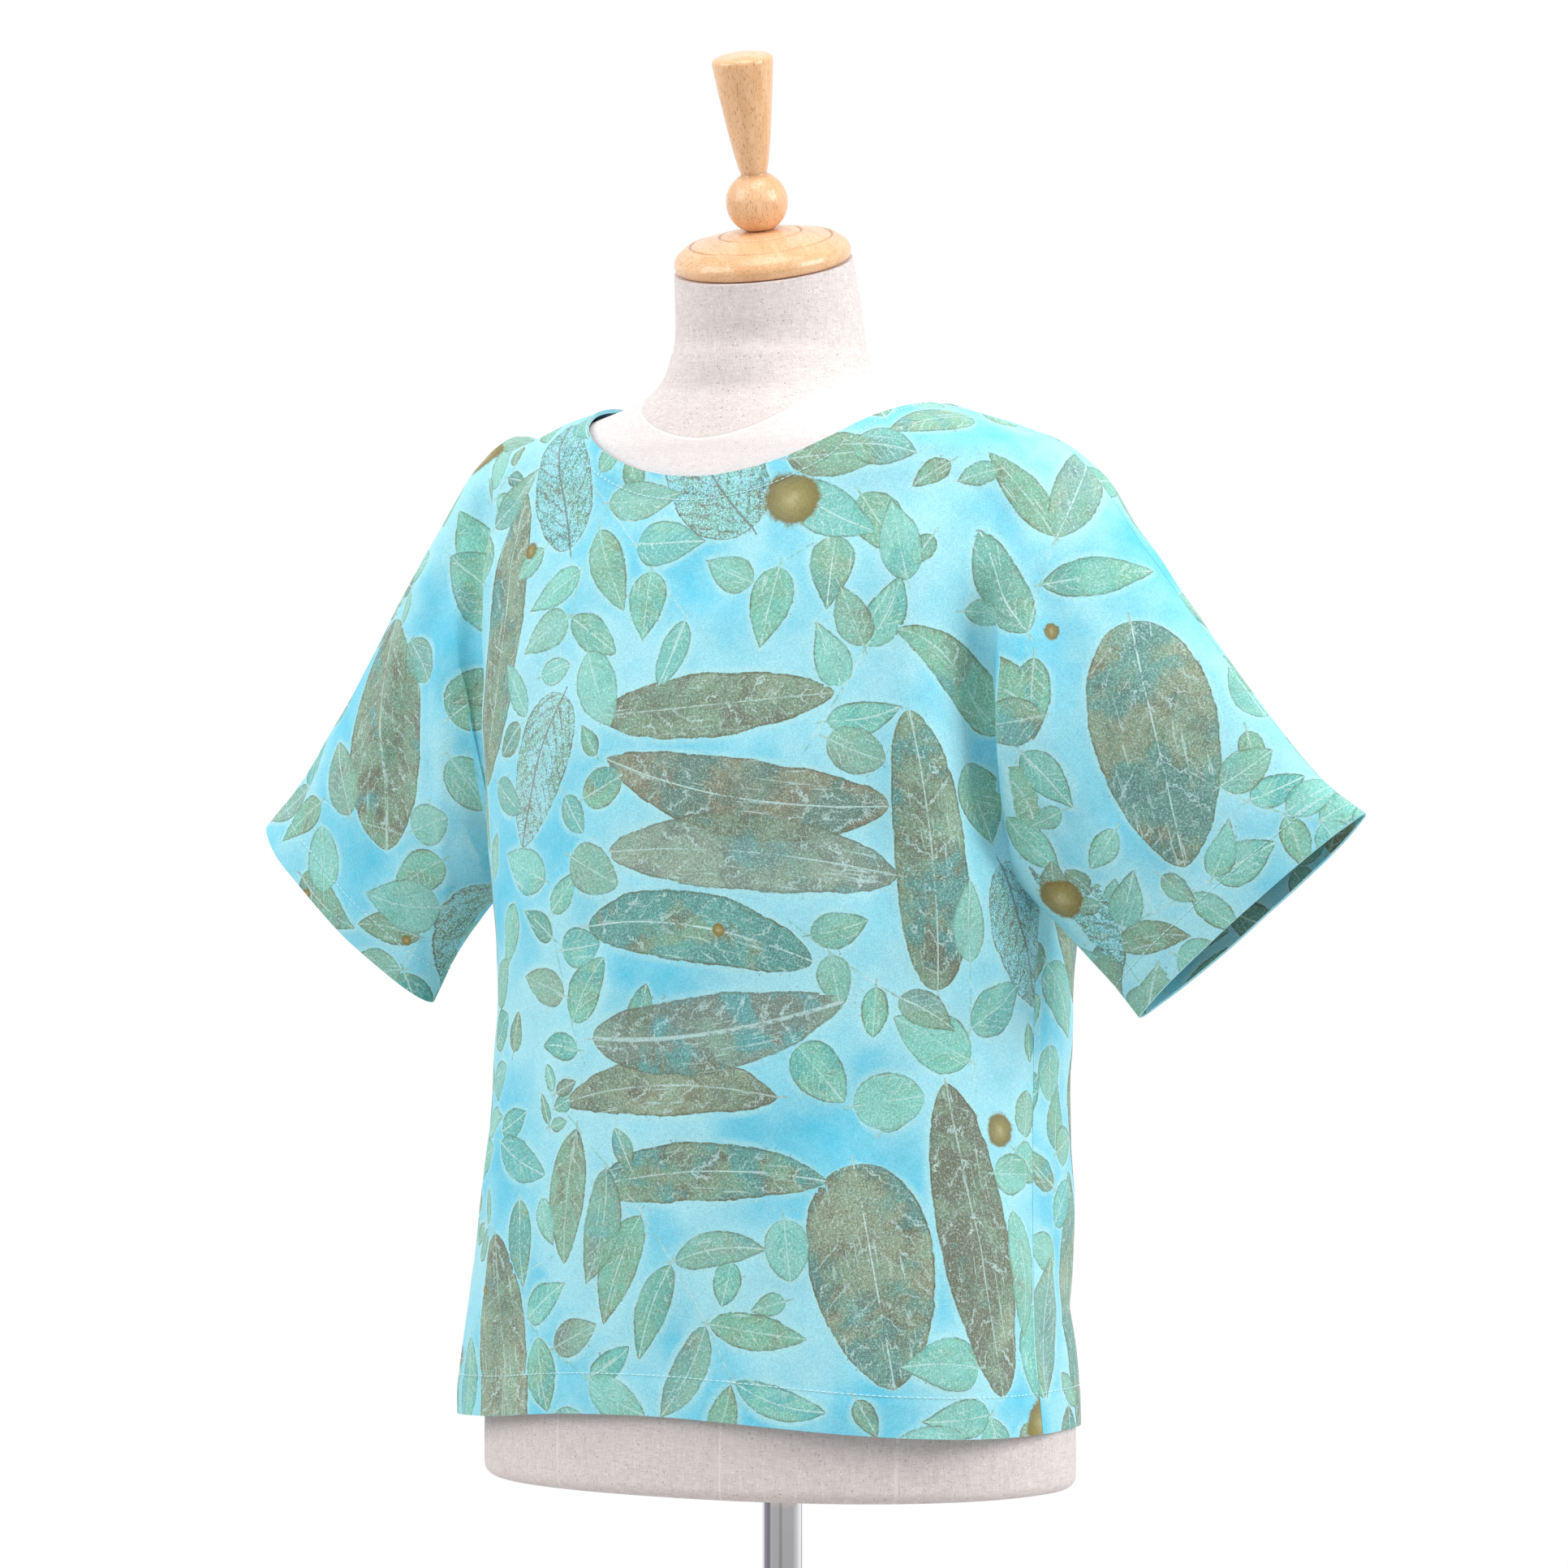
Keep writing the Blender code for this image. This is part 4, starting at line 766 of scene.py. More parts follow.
def clothOf(panel):
    # A panel's surface with its finished edges, its distances from them and along the threads, and
    # the size of its cut
    points, normals, faces, onSeam, fromSeam, across, down = panelSurface(panel)
    shape = (len(down), len(across))
    grid = points.reshape(*shape, 3)
    middle, chest = len(across) // 2, blouse["rows"][0]
    toNeck, toArmpit = blouse["columns"][0], sum(blouse["columns"][:2])
    neck = slice(middle - toNeck, middle + toNeck + 1)
    body = slice(middle - toArmpit, middle + toArmpit + 1)
    edges = (  # how far in each is stitched, and the grid seen from it, with its rows going inwards
        (blouse["neckStitch"], lambda values: values[:, neck]),
        (blouse["hemStitch"], lambda values: values[::-1, body]),
        (blouse["cuffStitch"], lambda values: values[: chest + 1].swapaxes(0, 1)[:middle]),
        (blouse["cuffStitch"], lambda values: values[: chest + 1].swapaxes(0, 1)[::-1][:middle]),
    )
    fromEdge, stitchAt = np.full(shape, 0.1), np.zeros(shape)
    for distance, seenFrom in edges:
        run = runAlong(seenFrom(grid), 0)
        closer = run < seenFrom(fromEdge)
        seenFrom(fromEdge)[closer] = run[closer]
        seenFrom(stitchAt)[closer] = distance
    fromTop, fromRight = runAlong(grid, 0), runAlong(grid, 1)
    inset = blouse["lengthInset"]
    cut = {
        "width": float(fromRight[: chest + 1, -1].max()),
        "length": float(fromTop[-1, body.start + inset : body.stop - inset].max()),
        "area": float(0.5 * np.linalg.norm(crossedDiagonals(points[faces]), axis=1).sum()),
    }
    return {
        "panel": panel, "points": points, "normals": normals, "faces": faces, "onSeam": onSeam,
        "fromSeam": fromSeam, "beyondStitch": (fromEdge - stitchAt).ravel(), "used": np.unique(faces),
        "weft": (fromRight - fromRight[:, [middle]]).ravel(), "warp": (fromTop - fromTop[[chest]]).ravel(),
        "grid": grid, "gridNormals": normals.reshape(*shape, 3), "edges": edges, "cut": cut,
    }


leafKinds = {  # length in metres, half width and bow as shares of it, and how blunt the foot and tip are
    "lance": {"length": (0.135, 0.175), "half": (0.115, 0.145), "foot": (0.44, 0.64), "tip": (0.50, 0.80),
              "tone": (0.74, 0.98), "bow": 0.07, "code": "large"},
    "broad": {"length": (0.105, 0.135), "half": (0.24, 0.29), "foot": (0.44, 0.52), "tip": (0.55, 0.75),
              "tone": (0.80, 0.97), "bow": 0.03, "code": "large"},
    "veined": {"length": (0.082, 0.108), "half": (0.25, 0.30), "foot": (0.48, 0.56), "tip": (0.65, 0.85),
               "tone": (0.50, 0.70), "bow": 0.04, "code": "veined"},
    "willow": {"length": (0.056, 0.085), "half": (0.16, 0.22), "foot": (0.60, 0.80), "tip": (0.80, 1.05),
               "tone": (0.25, 0.80), "bow": 0.08},
    "ovate": {"length": (0.036, 0.060), "half": (0.22, 0.34), "foot": (0.52, 0.68), "tip": (0.80, 1.20),
              "tone": (0.00, 0.72), "bow": 0.06},
    "round": {"length": (0.028, 0.040), "half": (0.35, 0.44), "foot": (0.46, 0.54), "tip": (0.52, 0.80),
              "tone": (0.00, 0.55), "bow": 0.03},
    "small": {"length": (0.018, 0.028), "half": (0.24, 0.36), "foot": (0.54, 0.66), "tip": (0.70, 1.05),
              "tone": (0.05, 0.80), "bow": 0.04},
}

# A leaf's code is its number in the layout plus one of these, and a fraction for its tone
leafCodes = {"plain": 0, "veined": 1000, "large": 2000, "toneShare": 0.98}

printPlan = {
    "front": {"seed": 23, "rows": 7, "topZ": 1.215, "pitch": 0.043, "y": -0.13},
    "back": {"seed": 57, "rows": 6, "topZ": 1.225, "pitch": 0.050, "y": 0.12},
    "rowMiddle": 0.03,  # the long leaves' middle, and how far they may be off it and turned
    "rowShift": 0.03,
    "rowTilt": 0.15,
    "rowLength": (0.135, 0.178),
    "rowTries": 8,
    "apart": 0.0026,  # between two leaves of one layer
    "overlap": 0.55,  # how deep a leaf of the second layer may lie over the first, in its half width
    "sprays": 380,
    "singles": 620,
    "largeTries": 60,
    "largeTurn": 0.4,
    "leafOff": 0.02,  # how far a leaf's middle and a stem's node may be from the nearest of the places
    "stemOff": 0.01,
    "reach": {"leaf": 0.007, "stem": 0.005, "open": 0.04},  # how far from each the cloth knows of it
    "spray": {
        "kinds": {"ovate": 0.66, "round": 0.12, "willow": 0.16, "small": 0.06},
        "nodes": (3, 7),
        "bend": 0.12,  # radians at each node
        "step": (0.46, 0.58),  # from node to node, as a share of the leaflets' length
        "alternate": 0.72,  # times this, where the leaflets stand by turns
        "turn": (0.75, 1.15),  # radians from the stem
        "size": (0.82, 1.08),
        "stalk": 0.002,
        "room": 0.6,  # the share of the leaflets that has to find a place
    },
    "spots": (0.0170, 0.0155, 0.0145, 0.0130, 0.0120, 0.0100, 0.0085, 0.0075, 0.0070, 0.0060, 0.0055, 0.0050,
              0.0045, 0.0040, 0.0040, 0.0035, 0.0035),
}


def outlinePeak(foot, tip):
    # The greatest value of share to the power of foot, times what is left to the power of tip
    widest = foot / (foot + tip)
    return widest**foot * (1.0 - widest) ** tip


def leafOutline(share, foot, tip):
    # A leaf's half width along its length, up to 1
    inside = np.clip(share, 0.0, 1.0)
    return inside**foot * (1.0 - inside) ** tip / outlinePeak(foot, tip)


def alongLeaf(leaf, spots):
    # A leaf's own coordinates: the offset from its middle in the tangent plane, stretched to the
    # chord, with the midrib bowed sideways as a parabola
    off = spots - leaf["centre"]
    along, side = off @ leaf["along"], off @ leaf["side"]
    stretch = np.linalg.norm(off, axis=-1) / np.maximum(np.hypot(along, side), 1e-6)
    stretch = np.clip(stretch, 1.0, 1.25)
    s = along * stretch + 0.5 * leaf["length"]
    share = np.clip(s / leaf["length"], 0.0, 1.0)
    return s, side * stretch - leaf["bow"] * leaf["length"] * 4.0 * share * (1.0 - share)


def insideLeaf(leaf, s, t):
    # Distance inside the outline, negative outside
    past = np.maximum(s - leaf["length"], 0.0) + np.maximum(-s, 0.0)
    return leaf["half"] * leafOutline(s / leaf["length"], leaf["foot"], leaf["tip"]) - np.abs(t) - past


class Layout:
    # Lays leaves, stems and spots on one panel
    def __init__(self, cloth, seed):
        self.chance = np.random.default_rng(seed)
        every = np.isin(np.arange(len(cloth["points"])), cloth["used"])
        every = every.reshape(cloth["grid"].shape[:2])[::2, ::2]
        self.places = cloth["grid"][::2, ::2][every]
        self.outward = cloth["gridNormals"][::2, ::2][every]
        self.leaves, self.stems, self.spots = [], [], []
        self.circles = [np.zeros((0, 4)), np.zeros((0, 4))]

    def find(self, point):
        # The point laid on the cloth, the normal there, and how far the nearest of the places is
        off = self.places - point
        place = int(np.argmin(np.einsum("ij,ij->i", off, off)))
        normal = self.outward[place]
        return point + normal * (off[place] @ normal), normal, float(np.linalg.norm(off[place]))

    def turned(self, heading, normal, angle):
        # This heading laid in the tangent plane, then turned in it
        heading = unit(heading - normal * (heading @ normal))
        return math.cos(angle) * heading + math.sin(angle) * np.cross(normal, heading)

    def gap(self, circles, layer):
        there = self.circles[layer]
        if not len(there):
            return 1.0
        away = np.linalg.norm(circles[:, None, :3] - there[None, :, :3], axis=-1)
        return float((away - circles[:, None, 3] - there[None, :, 3]).min())

    def leaf(self, kind, base, heading, length=None, strict=False):
        # Lays one leaf with its foot at base, unless others are in the way
        spec = leafKinds[kind]
        length = length or self.chance.uniform(*spec["length"])
        half = self.chance.uniform(*spec["half"]) * length
        _, normal, _ = self.find(base)
        centre, normal, away = self.find(base + self.turned(heading, normal, 0.0) * 0.5 * length)
        if away > printPlan["leafOff"]:
            return False
        along = self.turned(heading, normal, 0.0)
        side = np.cross(normal, along)
        share = np.array([0.08, 0.25, 0.42, 0.6, 0.8])
        foot, tip = self.chance.uniform(*spec["foot"]), self.chance.uniform(*spec["tip"])
        radius = half * leafOutline(share, foot, tip)
        middles = centre + along * ((share - 0.5) * length)[:, None]
        circles = np.concatenate([middles, radius[:, None]], axis=1)
        under = self.gap(circles, 0)
        layer = 0
        if under < printPlan["apart"]:
            if strict or under < -printPlan["overlap"] * half or self.gap(circles, 1) < printPlan["apart"]:
                return False
            layer = 1
        self.circles[layer] = np.concatenate([self.circles[layer], circles])
        number = len(self.leaves) + leafCodes[leafKinds[kind].get("code", "plain")]
        self.leaves.append({
            "centre": centre, "along": along, "side": side, "normal": normal, "length": length, "half": half,
            "foot": foot, "tip": tip, "bow": spec["bow"] * self.chance.uniform(-1.0, 1.0), "layer": layer,
            "code": number + leafCodes["toneShare"] * self.chance.uniform(*spec["tone"]),
        })
        return True

    def somewhere(self, low=(-1.0, 0.0), high=(1.0, 2.0)):
        while True:
            place = int(self.chance.integers(len(self.places)))
            point = self.places[place]
            if low[0] <= point[0] <= high[0] and low[1] <= point[2] <= high[1]:
                return point, self.outward[place]

    def heading(self, normal, angle):
        # 0 points to the wearer's left, and a quarter turn up
        return self.turned(np.array([math.cos(angle), 0.0, math.sin(angle)]), normal, 0.0)

    def longRows(self, plan):
        # Long leaves that lie across the middle, one below another
        shift, tilt = printPlan["rowShift"], printPlan["rowTilt"]
        for row, flip in enumerate(self.chance.permutation(plan["rows"])):
            for _ in range(printPlan["rowTries"]):
                x = printPlan["rowMiddle"] + self.chance.uniform(-shift, shift)
                middle, normal, _ = self.find(np.array([x, plan["y"], plan["topZ"] - row * plan["pitch"]]))
                angle = self.chance.uniform(-tilt, tilt) + (math.pi if flip % 2 else 0.0)
                heading = self.heading(normal, angle)
                length = self.chance.uniform(*printPlan["rowLength"])
                if self.leaf("lance", middle - heading * 0.5 * length, heading, length):
                    break

    def large(self, kind, count, low, high, tilt):
        # Up to this many single leaves, somewhere between the low and the high x and z
        turn = printPlan["largeTurn"]
        for _ in range(printPlan["largeTries"]):
            if count <= 0:
                break
            point, normal = self.somewhere(low, high)
            angle = self.chance.choice(tilt) + self.chance.uniform(-turn, turn)
            count -= self.leaf(kind, point, self.heading(normal, angle), strict=True)

    def spray(self):
        # A bent stem with leaflets in pairs or by turns, and one at its end. It stays only where
        # there is room for most of its leaflets.
        plan = printPlan["spray"]
        kept = len(self.leaves), list(self.circles)
        point, normal = self.somewhere()
        heading = self.heading(normal, self.chance.uniform(0.0, 2.0 * math.pi))
        bend = self.chance.uniform(-plan["bend"], plan["bend"])
        kind = self.chance.choice(list(plan["kinds"]), p=list(plan["kinds"].values()))
        base = self.chance.uniform(*leafKinds[kind]["length"])
        paired = self.chance.uniform() < 0.5
        nodes, borne, wanted, side = [point], [], 0, self.chance.choice([-1.0, 1.0])
        for node in range(int(self.chance.integers(*plan["nodes"]))):
            step = base * self.chance.uniform(*plan["step"]) * (1.0 if paired else plan["alternate"])
            point, normal, away = self.find(point + heading * step)
            if away > printPlan["stemOff"]:
                break
            heading = self.turned(heading, normal, bend)
            nodes.append(point)
            for turn in ((-side, side) if paired else (side,)):
                leafHeading = self.turned(heading, normal, turn * self.chance.uniform(*plan["turn"]))
                length = base * self.chance.uniform(*plan["size"]) * (1.0 - 0.04 * node)
                wanted += 1
                if self.leaf(kind, point + leafHeading * plan["stalk"], leafHeading, length):
                    borne.append(len(nodes))
            side = -side
        if self.leaf(kind, point + heading * plan["stalk"], heading, base * 0.98):
            borne.append(len(nodes))
        if len(borne) < 3 or len(borne) < plan["room"] * wanted:
            del self.leaves[kept[0] :]
            self.circles = kept[1]
            return
        self.stems.append(np.array(nodes[: borne[-1]]))

    def spot(self, radius):
        point, _ = self.somewhere()
        if all(np.linalg.norm(point - other) > 4.0 * (radius + size) for other, size in self.spots):
            self.spots.append((point, radius))

    def fill(self, plan):
        self.longRows(plan)
        upright = (0.5 * math.pi, -0.5 * math.pi)
        for side in (-1.0, 1.0):
            low, high = sorted((side * 0.21, side * 0.29))
            self.large("broad", 1, (low, 1.12), (high, 1.28), (0.5 * math.pi + side * 0.6, -0.5 * math.pi))
            low, high = sorted((side * 0.115, side * 0.16))
            self.large("lance", 2, (low, 0.86), (high, 1.24), upright)
            self.large("broad", 1, (low, 0.86), (high, 1.05), upright)
        self.large("veined", 3, (-0.15, 0.83), (0.15, 1.31), (0.3, 2.2, 4.0, 5.2))
        self.large("veined", 2, (-0.30, 1.10), (0.30, 1.33), (1.0, 2.4, 4.2))
        for _ in range(printPlan["sprays"]):
            self.spray()
        for _ in range(printPlan["singles"]):
            point, normal = self.somewhere()
            kind = self.chance.choice(["ovate", "ovate", "willow", "round", "small"])
            self.leaf(kind, point, self.heading(normal, self.chance.uniform(0.0, 2.0 * math.pi)))
        for radius in printPlan["spots"]:
            self.spot(radius)


barePlace, bareShape = (0.0, 1.0, 0.0), (0.0, 0.05, 80.5)
bareCloth = {"underPlace": barePlace, "underShape": bareShape, "overPlace": barePlace, "overShape": bareShape,
             "stem": (1.0, 0.0, 0.0)}  # far from any leaf and stem


def leafFields(cloth, layout):
    # For each corner of each face: where it lies on the leaf that owns the face, in two layers, and on
    # the stem that passes it. For each point: how far it is from the nearest leaf, and inside a spot.
    corners = cloth["points"][cloth["faces"]]
    centres = corners.mean(axis=1)
    facing = cloth["normals"][cloth["faces"]].mean(axis=1)
    count, reach = len(centres), printPlan["reach"]
    fields = {name: np.tile(bare, (count, 4, 1)) for name, bare in bareCloth.items()}
    for layer, name in enumerate(("under", "over")):
        place, shape = fields[name + "Place"], fields[name + "Shape"]
        best = np.full(count, -reach["leaf"])
        for leaf in layout.leaves:
            if leaf["layer"] != layer:
                continue
            away = np.linalg.norm(centres - leaf["centre"], axis=1)
            near = np.where((away < 0.55 * leaf["length"] + 0.012) & (facing @ leaf["normal"] > 0.1))[0]
            inside = insideLeaf(leaf, *alongLeaf(leaf, centres[near]))
            pick = near[inside > best[near]]
            best[pick] = inside[inside > best[near]]
            s, t = alongLeaf(leaf, corners[pick])
            wide = leaf["half"] / outlinePeak(leaf["foot"], leaf["tip"])
            place[pick] = np.stack([s, t, np.full_like(s, wide)], axis=-1)
            shape[pick] = (leaf["code"], leaf["length"], leaf["foot"] + math.floor(100.0 * leaf["tip"]))
    best = np.full(count, reach["stem"])
    for nodes in layout.stems:
        for part, (start, end) in enumerate(zip(nodes[:-1], nodes[1:])):
            run = end - start
            length = np.linalg.norm(run)
            run = run / length
            near = np.where(np.linalg.norm(centres - start, axis=1) < length + 0.01)[0]
            off = centres[near] - start
            along = np.clip(off @ run, 0.0, length)
            away = np.linalg.norm(off - along[:, None] * run, axis=1)
            pick = near[away < best[near]]
            best[pick] = away[away < best[near]]
            side = unit(np.cross(facing[pick], run))
            off = corners[pick] - start
            t = (off * side[:, None, :]).sum(axis=-1)
            share = (part + np.clip(off @ run / length, -0.3, 1.3)) / (len(nodes) - 1)
            fields["stem"][pick] = np.stack([t, share, np.full_like(t, len(nodes))], axis=-1)
    spots = cloth["points"]
    nearest = np.full(len(spots), -reach["open"])
    for leaf in layout.leaves:
        away = np.linalg.norm(spots - leaf["centre"], axis=1)
        near = np.where(away < 0.5 * leaf["length"] + reach["open"])[0]
        near = near[cloth["normals"][near] @ leaf["normal"] > -0.1]
        nearest[near] = np.maximum(nearest[near], insideLeaf(leaf, *alongLeaf(leaf, spots[near])))
    stain = np.full(len(spots), -1.0)
    for point, radius in layout.spots:
        stain = np.maximum(stain, 1.0 - np.linalg.norm(spots - point, axis=1) / radius)
    return fields, {"open": -nearest, "stain": stain}


printColors = {
    "bright": (0.11, 0.65, 0.88),
    "light": (0.42, 0.85, 0.95),
    "halo": (0.50, 0.88, 0.91),
    "tones": ((0.0, (0.27, 0.73, 0.64)), (0.28, (0.23, 0.62, 0.48)), (0.52, (0.24, 0.52, 0.37)),
              (0.76, (0.25, 0.38, 0.26)), (1.0, (0.19, 0.22, 0.155))),
    "teal": (0.07, 0.47, 0.48),
    "tan": (0.42, 0.38, 0.26),
    "dark": (0.12, 0.16, 0.14),
    "outline": (0.15, 0.16, 0.08),
    "vein": (0.64, 0.88, 0.85),
    "brown": (0.17, 0.11, 0.09),
    "stains": ((0.0, (0.40, 0.50, 0.33)), (0.15, (0.23, 0.18, 0.05)), (0.34, (0.28, 0.225, 0.06)),
               (0.62, (0.36, 0.29, 0.09)), (1.0, (0.52, 0.45, 0.22))),
}


def printedLeaf(layer, grain, fine, patches, broad):
    # One layer of leaves: its colour and its mask
    s, t, wide = grain.attribute(layer + "Place", 1).split()
    code, length, ends = grain.attribute(layer + "Shape", 1).split()
    foot, tip = ends.fraction(), ends.whole() * 0.01
    share = (s / length).most(0.0).least(1.0)
    off = t.size()
    past = (s - length).most(0.0) + (0.0 - s).most(0.0)
    inside = (share ** foot) * ((1.0 - share) ** tip) * wide - off - past
    tone, number = code.fraction() / leafCodes["toneShare"], code.whole()
    large = number.math("GREATER_THAN", number, leafCodes["veined"] - 0.5)
    veined = large * number.math("LESS_THAN", number, leafCodes["large"] - 0.5)
    hashed = (number * 0.618034).fraction()
    shift = (hashed * 7.31).fraction()
    own = number.join("ShaderNodeCombineXYZ", {}, {0: s, 1: t, 2: number * 7.3})
    blotch = own.noise((56.0, 56.0, 1.0), 4.0, 0.64, 0.5)
    lengthwise = own.noise((42.0, 560.0, 1.0), 2.0, 0.6)
    drift = own.noise((24.0, 24.0, 1.0), 3.0, 0.58, 0.6)
    inside = inside + (grain - 0.5) * 0.0010 + (patches - 0.5) * 0.0034 + (broad - 0.5) * large * 0.0050
    mask = inside.rise(-0.00035, 0.00035)
    beforeFoot = 0.0 - s
    petiole = off.fall(0.0003, 0.0008) * beforeFoot.rise(-0.001, 0.0) * beforeFoot.fall(0.0045, 0.0065)
    mask = mask.most(petiole * 0.85)
    mottled = tone + (blotch - 0.5) * 1.30 + (drift - 0.5) * 1.15 + (grain - 0.5) * 0.40
    color = mottled.ramp(printColors["tones"])
    teal = (drift * 0.6 + patches * 0.4 + (hashed - 0.5) * 0.20).rise(0.50, 0.60) * (0.25 + 0.45 * shift)
    color = teal.mix(color, "teal")
    tan = (drift * 0.75 + blotch * 0.25 + (shift - 0.5) * 0.20).fall(0.36, 0.50) * (0.15 + large * 0.25)
    color = tan.mix(color, "tan")
    dark = (blotch * 0.6 + broad * 0.4).fall(0.35, 0.47) * (0.25 + large * 0.75)
    color = (dark * 0.50).mix(color, "dark")
    color = (fine.rise(0.50, 0.72) * 0.50).mix(color, "vein")
    color = (fine.fall(0.28, 0.48) * (0.25 + large * 0.30)).mix(color, "dark")
    color = (inside.fall(0.0, 0.0024) * 0.24).mix(color, "dark")
    edging = (inside - 0.0003).size().fall(0.0001, 0.0009) * (grain * 0.5 + blotch * 0.5).rise(0.42, 0.56)
    edging = edging * (0.72 + large * 0.23)
    ribPlace = (s - off * 1.15) / (length * 0.085 + 0.0022) + (grain - 0.5) * 0.8 + (patches - 0.5) * 2.4
    wave = (ribPlace.fraction() - 0.5).size()
    side = wave.fall(0.02, 0.10) * blotch.rise(0.44, 0.58) * inside.rise(0.0005, 0.003)
    ribWidth = shift.rise(0.70, 0.95) * large * 0.0008 + 0.0005
    rib = (off / ribWidth).fall(0.4, 1.3) * (grain * 0.5 + lengthwise * 0.5).rise(0.40, 0.52)
    scratch = lengthwise.rise(0.59, 0.68) * broad.rise(0.44, 0.58)
    ribs = (side * 0.66).most(rib * (0.55 + 0.35 * hashed)).most(scratch * 0.62)
    pale = (ribs * (1.0 - veined)).mix(color, "vein")
    speckle = (fine.rise(0.44, 0.60) * 0.85 + patches.rise(0.45, 0.65) * 0.5).least(0.92)
    skeleton = speckle.mix(color, "light")
    net = (wave.fall(0.03, 0.14) * grain.rise(0.35, 0.52)).most(off.fall(0.0004, 0.0011))
    net = net.most(fine.fall(0.27, 0.36))
    skeleton = (net * 0.62).mix(skeleton, "brown")
    color = veined.mix(pale, skeleton)
    color = edging.mix(color, "outline")
    return color, mask


def printedCotton():
    fixed = {"Sheen Weight": 0.12, "Sheen Roughness": 0.6, "Specular IOR Level": 0.25}
    made, place = startMaterial("printedCotton", fixed)
    weave = place.attribute("weave", 1)
    away = place.attribute("open")
    stain = place.attribute("stain")
    grain = place.noise(420.0, 3.0, 0.6)
    fine = place.noise(1100.0, 2.0, 0.6)
    patches = place.noise(58.0, 4.0, 0.62, 0.5)
    broad = place.scaled(1.0, 1.0, -1.0).noise(31.0, 3.0, 0.6, 0.6)
    cloud = place.noise(12.0, 3.0, 0.55)
    threads = weave.noise((2400.0, 260.0, 1.0), 1.0) + weave.noise((260.0, 2400.0, 1.0), 1.0)
    threads = threads * 0.5
    depth = cloud.rise(0.38, 0.66) * 0.72 + away.rise(0.005, 0.026) * 0.25 + (patches - 0.5) * 0.8
    color = depth.most(0.0).least(1.0).mix("light", "bright")
    halo = away.fall(0.0006, 0.0050) * (patches.rise(0.30, 0.62) * 0.6 + 0.12)
    color = halo.mix(color, "halo")
    spatter = grain.rise(0.63, 0.68) * away.fall(0.001, 0.006) * broad.rise(0.50, 0.60)
    color = (spatter * 0.55).mix(color, "brown")
    shade, mask = printedLeaf("under", grain, fine, patches, broad)
    color = mask.mix(color, shade)
    across, share, _ = place.attribute("stem", 1).split()
    line = (across + (grain - 0.5) * 0.0016).size().fall(0.0001, 0.0008) * share.rise(0.0, 0.04)
    lineColor = patches.rise(0.42, 0.58).mix("vein", printColors["tones"][2][1])
    color = (line * share.fall(0.97, 1.0) * grain.rise(0.35, 0.55) * 0.70).mix(color, lineColor)
    shade, mask = printedLeaf("over", 1.0 - grain, fine, 1.0 - patches, 1.0 - broad)
    color = (mask * 0.88).mix(color, shade)
    soft = stain + (patches - 0.5) * 0.45 + (broad - 0.5) * 0.60 + (grain - 0.5) * 0.30
    color = (soft.rise(-0.04, 0.20) * 0.94).mix(color, soft.ramp(printColors["stains"]))
    tint = (threads * 0.45 + fine * 0.55).rise(0.34, 0.66).mix((0.78, 0.79, 0.80), (1.02, 1.02, 1.02))
    multiplied = {"data_type": "RGBA", "blend_type": "MULTIPLY"}
    color = color.join("ShaderNodeMix", multiplied, {0: 1.0, 6: color, 7: tint}, 2)
    height = threads * 0.7 + grain * 0.3 + place.noise(24.0, 3.0, 0.5, 0.4) * 3.5
    return finishMaterial(made, color, fine * 0.12 + 0.78, height, 0.0004, 0.6)


def addValues(mesh, name, values, domain="POINT"):
    # Numbers or vectors that the materials read, one for each point or each corner of a face
    kind, field = ("FLOAT", "value") if values.ndim == 1 else ("FLOAT_VECTOR", "vector")
    layer = mesh.attributes.new(name, kind, domain)
    layer.data.foreach_set(field, np.ascontiguousarray(values, np.float32).ravel())


